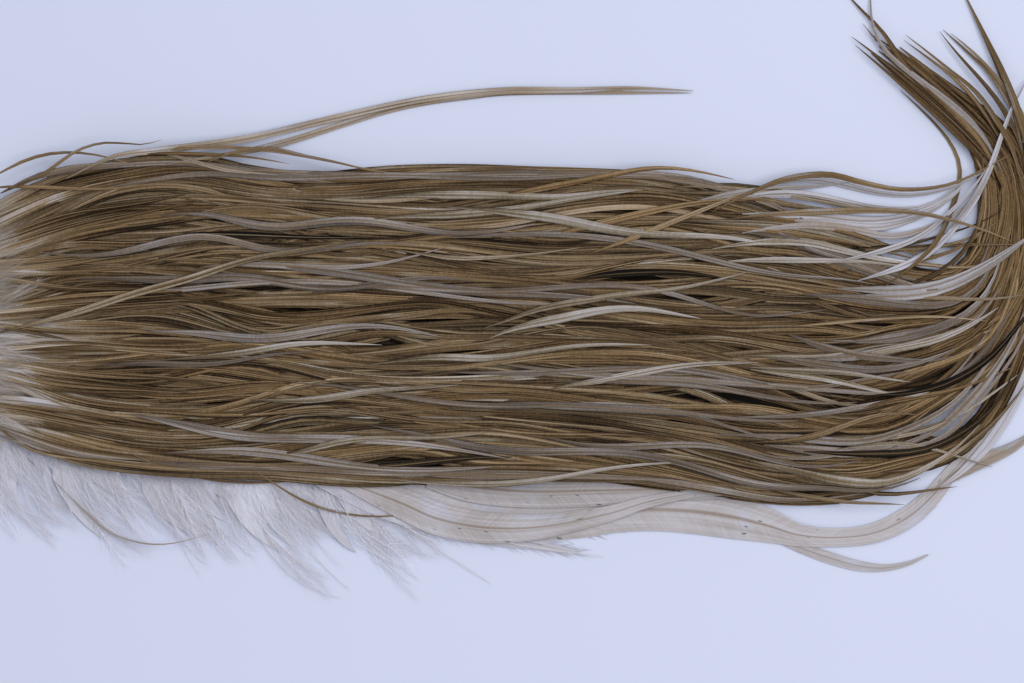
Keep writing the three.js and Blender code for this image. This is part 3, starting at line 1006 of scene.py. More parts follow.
    def _dress(
        self, rng: Rng, line: Array, layer: Layer, in_tail: bool, level: float, wisp: Wisp,
        border: Array, shade: Array,
    ) -> Strand:
        """Gives a line of points its width, roll and tone.

        Args:
            rng: The seeded source of chance.
            line: The points.
            layer: The layer that it is in.
            in_tail: Whether it runs on into the tail.
            level: Its level in the lock, from 0 to 1.
            wisp: The wisp that it is in.
            border: How near the mantle's border each point is, from 0 to 1.
            shade: How deep in a parting's shade each point is, from 0 to 1.

        Returns:
            The strand.
        """
        x, y, _ = line.T
        gone = distance_along(line)
        full = rng.uniform(*layer.widths) * (self.broader if rng.random() < self.broad_share else 1.0)
        width = vane_width(gone, full, rng.uniform(*self.taper))
        roll = np.radians(rng.normal(0, 9) + wander(rng, gone, 10, self.long_waves))
        tone = layer.tint + wisp.tint + rng.normal(0, 0.045) + wander(rng, gone, 0.03, (30, 120))
        warmth = self.warmth + wisp.warmth + rng.normal(0, 0.1) + wander(rng, gone, 0.08, (60, 200))
        if layer is TOP:
            # Painted shade: strands lower in the lock are a little darker
            tone = tone + 0.03 * (level - 0.5)
            if rng.random() < self.pale_share:
                turn = rng.uniform(0, gone[-1])
                near = bell(gone - turn, rng.uniform(25, 90))
                tone = tone + rng.uniform(0.1, 0.3) * near
                warmth = warmth - rng.uniform(0.3, 0.7) * near
        if in_tail:
            warmth = warmth + 0.4 * rise(x, 200, 40)
            width = width * self.slimmer_in_tail
        edge = rng.uniform(-12, 1) + 9 * rise(14 - y[0], 0, 20)
        if rng.random() < self.long_root_share:
            edge = edge + rng.uniform(6, 18)
        root = near_root(line, edge)
        # Painted shade: the tone is darkened in a parting's shade, and lifted towards the border tone near
        # the mantle's border
        tone = tone + np.clip(self.border_tone - tone, 0, 1) * border - self.painted_shade_depth * shade
        tone = tone + np.clip(self.bend_tone - tone, 0, 1) * rise(x, 205, 30) * rise(y, -5, 25)
        tone = tone + (self.root_tone - tone) * root
        warmth = warmth + (self.root_warmth - warmth) * root
        return Strand(line, width, np.clip(tone, 0, 1), warmth, roll)


def near_root(line: Array, edge: float) -> Array:
    """How near the root a strand is at each point: 1 well before an edge in X, and 0 well past it."""
    return 1 / (1 + np.exp((line[:, 0] - edge) / 4.5))


# Places across the skin where the feathers' roots gather in tufts, and the borders between them
TUFTS = (16.0, 2.0, -8.0, -23.0)
TUFT_BORDERS = (7.0, -3.5, -15.0)
TUFT_FRONT = -16
TUFT_REACH = 17


def gather(plan: Array) -> Array:
    """How far roots are drawn sideways towards their tuft, in millimetres."""
    first = plan[0, 1]
    tuft = TUFTS[sum(first < border for border in TUFT_BORDERS)]
    pull = 0.6 - 0.45 * rise(abs(first - 3), 14, 12)
    return pull * (tuft - plan[:, 1]) * bell(np.clip(plan[:, 0] - TUFT_FRONT, 0, None), TUFT_REACH)


@dataclass(frozen=True)
class Landmark:
    """A feather that stands out on the mantle, by the places that it passes in plan."""

    route: Array
    tint: float
    warmth: float
    width: float
    lift: float
    weave: float = 0.0

    def strand(self, mantle: Mantle, seed: int) -> Strand:
        """Lays the feather on the mantle's top, with its root tucked in among the others."""
        rng = np.random.default_rng(seed)
        plan = curve_through(self.route, 3.0)
        gone = distance_along(plan)
        root, tip = fall(gone, 14), fall(gone[-1] - gone, 20)
        heights = mantle.top(plan) + self.lift - 0.4 * root - 0.5 * self.lift * tip
        heights = heights + self.weave * (Sway(rng, 1.0, (30, 90)).at(gone) - 0.4) * (1 - tip)
        line = eased(np.column_stack([plan, np.maximum(heights, 0.35)]), 4.0, 4.0)
        return dress_loose(rng, line, self.width, self.tint, self.warmth)


def loose(*rows: tuple[float, ...]) -> tuple[Landmark, ...]:
    """Reads feathers from rows of tone, warmth, width and lift, and then the places X, Y."""
    return tuple(Landmark(np.reshape(row[4:], (-1, 2)), *row[:4]) for row in rows)


def dress_loose(rng: Rng, line: Array, full: float, tint: float, warmth: float) -> Strand:
    """Gives a single feather its width and tone.

    Args:
        rng: The seeded source of chance.
        line: Its points.
        full: Its full width.
        tint: Its tone.
        warmth: How ginger it is, from 0 to 1.

    Returns:
        The strand.
    """
    gone = distance_along(line)
    root = (0.1, min(28.0, 0.3 * gone[-1]))
    half = vane_width(gone, full, min(45.0, 0.6 * gone[-1]), root, 0.06)
    tone = np.clip(tint - 0.06 + wander(rng, gone, 0.05, (20, 60)) - 0.2 * np.exp(-gone / 10), 0, 1)
    roll = np.radians(rng.normal(0, 5) + wander(rng, gone, 5, (40, 120)))
    return Strand(line, half, tone, warmth + wander(rng, gone, 0.08, (20, 70)), roll)


# Single feathers that stand out, in rows of tone, warmth, width and lift, and then the places X, Y
# that they pass in plan
FIRM_FEATHERS = loose(
    # On the mantle
    (0.8, 0, 2.5, 0.5, 118, -3.4, 124, -0.8, 131, 0.8, 136.5, 1.6, 143, 3.2, 150, 4.3, 157, 4.5, 163, 3.6,
     168, 2.6, 173, 1.7),
    (0.66, 0, 2.4, 0.35, 88, 33, 94.5, 33.9, 116, 33.9, 137, 33.3, 148, 34.9, 158, 35.2),
    (0.64, 0.05, 2.2, 0.5, 88, 27.6, 94.5, 28.4, 110, 28.8, 126.5, 30.5, 140, 32.8, 156, 35),
    (0.68, 0, 2.6, 0.7, 106, 31, 112, 30.5, 126.5, 28.9, 137, 27.6, 145.4, 25.6, 156, 23.9, 166.8, 23.4,
     178.5, 23.1, 192, 21),
    (0.66, 0.4, 1.3, 0.5, 92, 19.8, 99.8, 18.9, 107.9, 17.3, 118.7, 17.6, 129.4, 18.4, 142, 20.2),
    (0.6, 0.2, 2, 0.4, 116, -1, 122, 1, 132, 4.7, 142.8, 6.3, 153.3, 8.1, 164, 8.9, 174.8, 11, 186, 14),
    (0.64, 0, 2, 0.4, 86, -10.4, 94.5, -9.2, 105.3, -8.1, 116.3, -8.9, 126.5, -7.6, 137.3, -5.8, 148, -5,
     160, -5.2),
    (0.56, 1, 1.8, 0.4, 112, 33, 120, 33.4, 132, 35.7, 148, 38.7, 158.8, 41, 169.6, 40.7, 182, 38),
    (0.52, 0.9, 2, 0.5, 130, 22.6, 136, 23.8, 147, 26.5, 158.8, 29.4, 169.6, 31.5, 178.5, 32.5, 190, 33),
    (0.6, 0.75, 1.6, 0.7, 144, 18.6, 150, 20.6, 158.8, 24, 166.8, 27.3, 178.5, 32, 190, 36.6),
    (0, 0.2, 2, 0.3, 140, 11.8, 145.4, 12.9, 155, 13.6, 163, 13.9, 171, 13.6, 180, 12),
    (0.56, 0.45, 1.9, 1.1, -12, -3, -6, -1, 10, 3, 25, 8, 40, 12, 55, 17, 72, 20, 86, 22),
    (0.66, 0.05, 2.1, 0.5, 134, -16.6, 140, -15.5, 150, -14, 165, -11, 175, -10, 188, -9.8),
    (0.72, 0, 1.9, 0.5, 186, -11.6, 195.3, -12.7, 201.3, -13.1, 209.4, -14.7, 217.4, -16.8, 226, -18.6),
    (0.7, 0, 1.6, 0.6, 186, -11, 195.3, -11.7, 203.3, -12.1, 211.4, -12.3, 217.4, -13.5, 228, -14.9),
    (0.7, 0.05, 2.1, 0.5, 208, -8.6, 217.9, -7.5, 224.2, -5.9, 231.5, -5.1, 237.6, -3.1, 243.6, -0.3,
     251, 4.6),
    (0.6, 0.1, 1.3, 0.5, 186, -8, 195.3, -7.9, 205.3, -7.9, 212.6, -6.9, 219.4, -5, 226, -4.8),
    (0, 0.1, 2.2, 0.7, 218, -18.3, 227.9, -18, 233.9, -16.7, 239.5, -14.7, 245.5, -11.1, 249.6, -8.3,
     253.6, -3.1, 258.3, 2.2, 262, 8),
    (0.48, 1, 1.6, 0.5, 208, -22, 216.6, -21.2, 223.4, -19.7, 231.5, -18.4, 237.5, -17.6, 243.6, -15.8,
     256, -10.5),
    (0.46, 0.7, 1.8, 0.5, 186, -30.6, 195.3, -30.2, 203.3, -29.1, 209.4, -26.8, 215.4, -24.4, 221, -22.8,
     230, -23.4),
    (0.64, 0.1, 1.9, 0.3, 198, -29.2, 206.9, -29.6, 215.4, -29.9, 223.4, -29, 231.5, -27.6, 237.5, -25.2,
     245.5, -20.7, 256, -13),
    (0.7, 0.2, 1.2, 0.6, 208, -32.5, 216.6, -31.4, 225.5, -30.6, 231.5, -31.6, 237.5, -33.4, 243.6, -35.4,
     250, -37.2),
    (0, 0.1, 2, 0.7, 200, -33, 210, -33.6, 221.4, -33.6, 231.5, -33, 239.5, -29.2, 243.6, -27.2,
     247.5, -23.6, 251.6, -19.6, 255, -12),
    (0.46, 0.6, 1.9, 0.2, 220, -38.5, 230.2, -37.3, 239.5, -33.6, 245.5, -28.8, 251.6, -24, 257, -17),
    (0.5, 0.4, 1.7, 0.1, 224, -40, 233, -37.2, 241.5, -33, 247.5, -28, 253.4, -22, 258.5, -15),
    (0.66, 0.2, 2.8, 0.4, 186, -35.4, 195.3, -37.3, 205.3, -40.1, 213.4, -41.2, 221.4, -41.7, 227.5, -39.6,
     233.5, -36.5, 239.5, -32.8, 246, -26),
    (0.66, 0.05, 1.9, 0.5, 56, -19.4, 66, -19.8, 76, -19.1, 86, -17.2, 96, -16.6, 110, -15.6),
    (0.72, 0, 1.8, 0.6, 34, -9, 44, -8.2, 56, -7, 66, -4.9, 76, -4.6, 90, -5.2),
    (0.6, 0.15, 1.8, 0.5, 58, -34.2, 68, -33.4, 78, -30.4, 90, -29.4, 104, -29.6, 118, -28),
    (0.7, 0.1, 1.7, 0.6, 92, -40, 100, -41, 120, -41.5, 135, -40, 145, -38, 158, -36.3, 170, -35.8),
    (0.5, 0.5, 1.3, 0.3, 190, -42.6, 205, -45.5, 214, -46.5, 221, -46.6, 226.7, -47),
    # These three near-black strands stand for the deep shade in gaps of the mantle: painted shade
    (0, 0.1, 2.6, 0.1, 72, -38.2, 84, -37.4, 94, -36.6, 104, -35.5, 113, -34.6, 124, -34.4),
    (0, 0.1, 1.6, 0.1, 38, 24, 52, 23.6, 62, 23.2, 72, 22.8, 86, 22.8),
    (0, 0.1, 1.6, 0.1, 132, 24, 144, 23.4, 154, 23, 166, 22.4),
    (0.4, 0.7, 1.2, 0.3, 208, -42, 222, -44.5, 230, -43.5, 236, -42.8, 240.5, -42.3),
    # Loops and loose feathers along the left edges
    (0.52, 0.9, 1, 0.4, -15, 35.4, -10, 36, 0, 36, 10, 35.4, 20, 35.4, 32, 37),
    (0.44, 1, 1, 0.4, 26, 44.4, 33, 44.7, 40, 44.6, 48, 44.3, 55, 44, 66, 42),
    (0.56, 0.9, 1, 0.5, -14, -24, -10, -25.5, -8, -28.5, -5, -31, 0, -33, 5, -34, 12, -34.8, 20, -35.7,
     30, -37, 42, -37.8),
    # At the bay between the mantle and the tail
    (0.56, 0.2, 2.2, 0.1, 166, 36, 174, 36.5, 186.7, 35.6, 199.9, 33.5, 210.4, 31.7, 219, 30, 226, 29.4),
    (0.5, 0.4, 2.4, 0, 164, 34.5, 174, 34.3, 184, 33.5, 196.4, 31.3, 207, 30, 214, 29.4),
    (0.5, 0.8, 2, 0.1, 172, 29.5, 182.4, 28.2, 195.5, 27.3, 207, 25.6, 215.6, 23, 226, 19.5, 235, 17.3),
    (0.48, 0.9, 2.2, 0.1, 164, 27, 174, 26, 191, 25, 204, 23, 213, 21.7, 222.6, 19, 230, 17.1),
    (0.62, 0.1, 2, 0.2, 168, 27.4, 179, 26.9, 191, 26.5, 202.5, 25, 212, 22.5, 222.6, 20.1, 230.5, 19),
    (0.25, 0.5, 1, 0.4, 204, 18.8, 212, 19.6, 222, 20.5, 228, 21, 233, 22.5, 238, 24, 242, 25.2, 245.5, 26,
     252, 30),
    (0.5, 0.5, 1.4, 0.3, 206, 18.6, 214, 19.6, 224, 20, 230, 19.5, 236, 20.5, 241, 21.5, 245, 23, 252, 28),
    (0.46, 0.8, 1.5, 0.3, 216, 8.6, 226, 9.8, 236, 13.5, 240, 17, 243, 20, 245, 23, 246.5, 28, 247.5, 36,
     246.5, 46),
    (0.44, 0.7, 1.5, 0.2, 210, 14, 222, 15.6, 231, 17, 236, 18, 240, 19.5, 243, 21, 249, 26),
    (0.52, 0.6, 1.2, 0.4, 212, 17.4, 222, 16.5, 232, 16, 238, 15, 246, 15, 254, 18),
    (0.5, 0.6, 1.2, 0.4, 226, 20.6, 236, 20.9, 246, 21, 258, 21),
    (0.55, 0.4, 1.3, 0.5, 222, 8, 232, 7.2, 242, 6.8, 250, 6.6, 258, 8),
    (0.66, 0.7, 1.2, 0.6, 196, -0.4, 207, 0.5, 214, 1.5, 222, 1.8, 230, 2.3, 238, 2.2, 248, 1),
    (0.7, 0.05, 2.3, 0.5, 176, 19.8, 184, 21.4, 194, 22, 202, 21.8, 210, 19.5, 218, 17.8, 226, 16.3,
     236, 16),
    (0.8, 0.05, 1.6, 0.6, 178, 16.4, 187, 17, 195, 17, 203, 16.8, 211, 16.8, 218, 16.3, 228, 15.2),
    # In the tail
    (0.36, 0.9, 1.6, 0.2, 251, 40, 246, 46.5, 238, 54.5, 229, 62.5, 221, 69.3, 212.8, 75.6),
    (0.4, 0.9, 1.6, 0.2, 250, 38, 245, 45, 237, 53, 228, 61, 220, 68, 213.8, 73.3),
    (0.36, 0.9, 1.6, 0.2, 252, 44, 246, 50.5, 238, 58, 230, 65, 223, 71, 218, 75.6, 215.8, 79),
    (0.38, 1, 1.8, 0.2, 253, 46, 247, 52, 239, 59.5, 231, 66.3, 224, 72.2, 218.6, 75.8),
    (0.46, 1, 2, 0.3, 252, 36, 248, 46, 243, 52, 236, 59, 229, 65, 225, 70, 222.5, 75, 220, 78.5, 217, 81,
     213, 85, 211, 88),
    (0.5, 0.8, 1.3, 0.3, 254, 44, 250, 51, 247, 56, 243, 61.5, 238, 66, 232, 70.5, 226.5, 74.5),
    (0.5, 0.8, 1.4, 0.3, 258, 42, 256, 50, 254, 54, 250, 60, 245, 66, 240, 71.5, 236, 77),
    (0.56, 0.5, 1.4, 0.3, 260, 46, 258, 55, 254, 60, 250, 66, 244, 72.5, 239, 76.5),
    (0.46, 0.8, 1.6, 0.3, 258, 40, 257, 47, 256, 54, 254, 60, 252, 66, 249, 73, 246, 80, 243, 86),
)
SHEER_FEATHERS = loose(
    # Loops and loose feathers along the left edges
    (0.56, 0.9, 0.9, 0.3, -15, 36.8, -10.5, 39, -6, 42, 0, 44.3, 5, 45.2, 10, 45.2, 15, 44.5, 20, 43.5,
     27, 41),
    (0.62, 0.8, 1.1, 0.3, 18, 43, 25, 45, 35, 46, 45, 46.5, 55, 46.2, 62, 45.5, 70, 44, 78, 42.5, 84, 41,
     92, 39),
    (0.66, 0.6, 1, 0.3, 27, 45.6, 34, 44.7, 40, 43, 46, 41, 52, 39.5, 60, 39.3, 70, 38, 78, 37),
    (0.56, 0.9, 0.7, 2.8, 56, -37, 61, -40.5, 65, -43.5, 70, -46.5, 75, -48.3, 80, -49.5, 88, -50.3,
     95, -49.8, 105, -48.6),
    # At the bay between the mantle and the tail
    (0.84, 0.15, 1.6, 0.2, 186, 34.4, 194, 37.6, 206, 38.1, 218, 34.8, 230, 33.9, 242, 36.9, 250, 42),
    (0.74, 0.2, 1.7, 0.4, 168, 31, 178, 33.6, 187, 35, 195, 36, 203, 36.2, 210, 37, 213, 37.6),
    (0.86, 0.15, 2.2, 0.3, 176, 31.5, 186, 33.6, 195, 34.5, 202, 34, 210, 32.5, 216, 31, 222, 30.3,
     228, 30.2, 233, 31, 237, 33, 241, 36.5),
    (0.92, 0.1, 3, 0.2, 184, 29, 194, 28.8, 205, 28.5, 212, 27.3, 219, 27, 226, 28, 231, 29.3, 236, 31.5,
     240, 34, 243, 38),
    (0.84, 0.15, 2.2, 0.35, 190, 27, 200, 27, 208, 26.5, 214, 25.5, 220, 25.2, 226, 26.5, 232, 28.8,
     238, 32, 242, 36),
    (0.8, 0.4, 2.2, 0.45, 184, 24, 192, 25.4, 200, 26, 207, 25.8, 214, 24.8, 219, 23.5, 223, 22.6,
     226, 22.8, 230, 24.5, 235, 26, 240, 28.5, 244, 32, 247, 37),
    (0.92, 0.05, 2, 0.9, 214, 11.5, 224, 14.6, 232, 18, 237, 22, 241, 27, 245, 32, 248, 38, 250, 44),
    (0.9, 0.2, 1.5, 1.2, 206, 16, 218, 18.6, 229, 22, 234, 25, 239, 30, 243, 34, 247, 39, 249.5, 44),
    (0.72, 0.05, 2.6, 0.5, 208, 9.6, 218, 9.2, 228, 9, 234, 10, 240, 12, 246, 15, 252, 18.5, 260, 24),
    (0.68, 0.15, 2.2, 0.4, 210, 7.8, 220, 7.4, 230, 7.6, 238, 9.6, 245, 12.8, 252, 17, 259, 23),
    # In the tail
    (0.7, 0.15, 1.8, 0.4, 252, 40, 247, 50, 240, 57, 232, 63, 226, 67.6, 221.6, 71, 219.5, 74, 218.3, 77,
     217.7, 80, 217.8, 85, 218, 89),
    (0.8, 0.05, 1.8, 1, 234, 18, 238, 24, 242, 29, 246, 35, 249, 41, 250.5, 46, 253, 53, 256, 60, 260, 66),
)


@dataclass(frozen=True)
class Stray:
    """A single hackle that strays out of the mantle, by the places that it passes."""

    node: str
    width: float
    tint: float
    warmth: float
    route: Array
    lift: float = 0.3

    def strand(self, seed: int) -> Strand:
        """Lays the hackle along its places, lifted a little."""
        line = curve_through(self.route, 3.0)
        line[:, 2] += self.lift
        return dress_loose(np.random.default_rng(seed), line, self.width, self.tint, self.warmth)


# Rows of node, full width, tone and warmth, and then the places X, Y, Z
STRAYS = tuple(Stray(*row[:4], np.reshape(row[4:], (-1, 3))) for row in (
    ("stray_top_long", 1.9, 0.74, 0.6, 8, 38, 8.6, 20, 43.7, 8.4, 30, 45.2, 7.4, 40, 46.5, 5.6,
     50, 48, 3.6, 60, 50, 2, 78, 54.3, 1, 100, 59, 0.95, 120, 61.3, 0.95, 140, 61.6, 0.95,
     156, 62.1, 0.9, 171.5, 61.4, 0.9),
    ("stray_top_pair", 1.7, 0.72, 0.6, 34, 41.8, 8.2, 42, 43.2, 7.2, 50, 44.6, 5, 57, 46, 2.6,
     66, 48.4, 0.9, 78, 52.2, 0.2, 90, 56, 0.2, 100, 58.3, 0.2, 112, 60, 0.2, 125, 61.2, 0.2,
     150, 61, 0.2, 171, 60.9, 0.2),
    ("stray_top_left_loop", 0.9, 0.5, 0.9, -9, 34.2, 8, 1, 38.6, 8.4, 6, 42.2, 7.6, 11, 45.6, 6.8,
     17, 47.4, 6.4, 23, 47.3, 6.8, 28, 47, 7.4, 33, 48.2, 7.8),
    ("stray_top_arch", 1.1, 0.55, 0.8, 44, 42, 8, 50, 44.4, 8, 56, 45.8, 7.6, 63, 45.6, 7.4,
     70, 44, 7.2, 78, 42.4, 7, 84, 41, 6.9, 92, 39.6, 6.8),
    ("stray_bay_upper", 1.6, 0.5, 0.9, 176, 29.5, 5.9, 185, 34, 5.6, 195, 38, 5.2, 206, 39.3, 4.9,
     216, 37, 4.8, 225, 35.4, 4.8, 235, 36, 4.8, 243, 38.6, 4.8, 254, 44.5, 4.8),
    ("stray_bay_lower", 1.8, 0.55, 0.8, 180, 27.5, 5.9, 190, 28.8, 5.5, 204, 29.6, 5, 220, 29.9, 4.8,
     232, 28.9, 4.8, 245, 25.5, 4.8, 254, 22, 4.8),
    ("stray_tail_arc", 1.4, 0.46, 0.9, 221, 10, 5.1, 226, 13.5, 5.1, 230.5, 17.2, 4.9, 234.5, 21.5, 4.2,
     237.5, 26.5, 2.4, 239.8, 32, 0.8, 241.2, 37, 0.3, 241.3, 42, 0.2, 239.5, 46.8, 0.2,
     236.1, 51.5, 0.2, 231.4, 56.4, 0.2, 225.8, 61.6, 0.2),
    ("stray_tail_near", 1.5, 0.46, 0.9, 257.5, 34, 5, 254.5, 46, 4.9, 250, 54, 4.6, 245, 61, 4.2,
     238.5, 66.5, 3.7, 232.5, 71.5, 3, 227, 76, 1.8),
    ("stray_tail_middle", 1.5, 0.46, 0.9, 261, 36, 4.9, 259, 48, 4.4, 254, 58, 3, 249, 66, 1.7,
     243.5, 71.5, 0.8, 237, 77.5, 0.3),
    ("stray_tail_far", 2.0, 0.44, 0.9, 259.5, 36, 5.7, 258.3, 47, 5.5, 255.6, 57, 4.6, 251.8, 67, 3.3,
     247.4, 76.5, 1.8, 242, 88, 0.4),
    ("stray_low_left", 0.65, 0.8, 0.5, 3, -39.6, 2.9, 9, -45.6, 2.9, 14, -50.4, 3, 19, -54.4, 3,
     27, -57, 3.1, 35, -57.1, 3.4, 45, -54.6, 3.6),
    ("stray_low_loop", 0.9, 0.55, 0.9, 24, -33, 8.5, 33, -37, 6.8, 42, -39.6, 5, 52, -41, 3.5,
     62, -41, 3.4, 72, -40.1, 3.6, 80, -39.2, 6.9),
))


def scattered(on_top: int = 36, inner: int = 16, outer: int = 10) -> tuple[Landmark, ...]:
    """Draws pale sheer feathers that lie here and there on the mantle and along its two edges.

    Args:
        on_top: How many lie on the mantle.
        inner: How many bow out over its inner edge.
        outer: How many bow out over its outer edge.

    Returns:
        The feathers.
    """
    rng = np.random.default_rng(Seed.SCATTERED)
    feathers = []
    for _ in range(on_top):
        start, share = rng.uniform(1.5, 9.5), rng.uniform(0.03, 0.97)
        rib = start + np.linspace(0, rng.uniform(2.2, 5.0), 13)
        drift = Sway(rng, 0.02, (1.5, 4.0)).at(rib) + rng.normal(0, 0.02) * (rib - start)
        plan = Mantle.place(rib, np.clip(share + drift, 0.01, 0.99))
        tint, width = rng.uniform(0.38, 0.62), rng.uniform(1.3, 2.7)
        feathers.append(Landmark(plan, tint, 0.3, width, 0.38, 0.15))
    for number in range(inner + outer):
        rib = rng.uniform(0.6, 6.6) + np.linspace(0, rng.uniform(1.5, 3.4), 9)
        out = np.sin(np.linspace(0, math.pi, 9)) * rng.uniform(0.002, 0.022) - 0.02
        plan = Mantle.place(rib, -out if number < inner else 1 + out)
        tint, width = rng.uniform(0.36, 0.62), rng.uniform(1.0, 1.8)
        feathers.append(Landmark(plan, tint, 0.4, width, 0.0))
    return tuple(feathers)


@dataclass(frozen=True)
class SideFeather:
    """A broad webby feather by its middle line, with a full width at each of its points."""

    name: str
    node: str
    tint: float
    warmth: float
    fringe: float
    route: Array


# Rows of name, node, tone, warmth and fringe, and then the places X, Y, Z with the full width there
SIDE_FEATHERS = tuple(SideFeather(*row[:5], np.reshape(row[5:], (-1, 4))) for row in (
    ("side_feather_long", "side_feather_long", 0.84, 0.36, 1.5, 92, -43, 2.6, 4, 102, -46, 2, 8,
     112, -48.6, 1.4, 11, 122, -50.2, 0.9, 12.4, 132, -50.4, 0.6, 12.4, 142, -49.8, 0.6, 12,
     152, -48.7, 0.6, 11.2, 162, -48.4, 0.6, 11.2, 172, -48.9, 0.6, 11.8, 182, -50.4, 0.6, 11.4,
     191, -52.6, 0.6, 9, 199, -55, 0.8, 6, 209, -55.7, 0.9, 4.8, 219, -54.5, 0.7, 5.2,
     227.5, -50.6, 0.6, 5.6, 234, -45, 0.6, 4.8, 239, -38.8, 0.7, 3.6, 246, -31, 0.8, 2.4,
     254, -20.5, 0.6, 0.5),
    ("side_feather_near", "side_feather_near", 0.76, 0.32, 0.8, 102, -40, 3.4, 5, 112, -42, 2.6, 8,
     122, -43.2, 2, 8.6, 132, -43.6, 1.7, 8.6, 142, -43.4, 1.6, 8.4, 152, -43.2, 1.6, 7.6,
     162, -43, 1.6, 6.4, 172, -43.4, 1.6, 4.8, 182, -44, 1.6, 2.8, 192, -45, 1.5, 0.5),
    ("side_feather_neighbour", "side_feather_long", 0.8, 0.34, 2.0, 80, -41, 4, 3, 88, -43.8, 3.6, 6,
     96, -47, 3, 8, 104.2, -50.6, 2.4, 8.6, 115, -52.8, 2, 8.4, 126, -53.2, 2, 7.2, 137, -52, 1.9, 5.6,
     150, -49.2, 1.9, 4, 160, -46.2, 2.1, 3, 173, -44, 2.3, 1.8, 186, -44.6, 2.1, 0.5),
    ("side_feather_sheer", "down_plume_6", 0.9, 0.1, 4.0, 70, -38.6, 3.6, 3, 80, -42, 3, 7,
     92, -46.6, 2.2, 9, 105, -50.6, 1.2, 9, 118, -54.4, 0.7, 6.6, 130, -57.4, 0.4, 3,
     141, -59.6, 0.3, 0.5),
    ("side_feather_low", "side_feather_low", 0.8, 0.3, 0.8, 190, -54.6, 0.3, 1.4, 199, -58.2, 0.3, 2.6,
     207, -61, 0.3, 3.2, 215, -63.2, 0.3, 2.8, 222, -63.7, 0.3, 1.8, 228, -62.5, 0.3, 1.2,
     233, -60.3, 0.3, 0.4),
    ("side_feather_right", "side_feather_right", 0.64, 0.5, 0.8, 234, -43.6, 1, 0.4, 238, -41, 1.2, 1.6,
     243, -38, 1.2, 2.8, 249, -34.9, 1.2, 3.4, 254.5, -32.4, 0.8, 2.8, 259, -29.6, 0.5, 1.8,
     265, -25, 0.3, 0.5),
    ("side_feather_pale", "side_feather_pale", 0.86, 0.1, 0.3, 236, -42.6, 1.6, 0.4, 241, -38.9, 2, 1.4,
     246, -34.2, 1.6, 2.4, 250.4, -29, 1.2, 2.8, 255.4, -20.8, 1.2, 2.8, 259.6, -11.6, 0.9, 2.6,
     263.4, -2, 0.5, 1.8, 266, 8, 0.3, 0.4),
))

DOWN_PLUMES: tuple[Route, ...] = (
    ((-24, -23), (-20, -38), (-12, -49)),
    ((-6, -25), (-1, -38), (6, -47), (15, -53)),
    ((15, -28), (21, -40), (29, -49), (39, -56)),
    ((38, -31), (45, -43), (55, -54), (68, -64)),
    ((60, -32), (67, -45), (77, -55), (89, -63)),
    ((82, -33), (90, -45), (101, -54.5), (114, -62.5)),
)

# Pointed feathers whose tips stand out below the down, by plume number
DOWN_BLADES: tuple[tuple[int, Route], ...] = (
    (3, ((52, -44), (56, -52), (60, -59), (66, -65.5), (72, -69.3), (78.5, -71.5))),
    (3, ((58, -42), (64, -50), (69, -56.5), (74, -62.5), (78, -66.5), (81, -69))),
    (4, ((74, -44), (82, -52), (88, -58), (94, -62.7), (99, -66.5))),
    (5, ((88, -45), (95, -51.5), (103, -57.8), (111, -63), (118, -67.5))),
    (5, ((112, -52.5), (121, -56.5), (134, -59), (147.5, -60.7))),
)

COVER_ENDS: tuple[tuple[tuple[float, float], tuple[float, float]], ...] = (
    ((-28, 20), (44, 33)),
    ((-28, 11.5), (28, 18)),
    ((-29, 4), (60, 9)),
    ((-29, -4), (24, -4.5)),
    ((-28, -12), (50, -17)),
    ((-28, -20), (30, -28.5)),
)


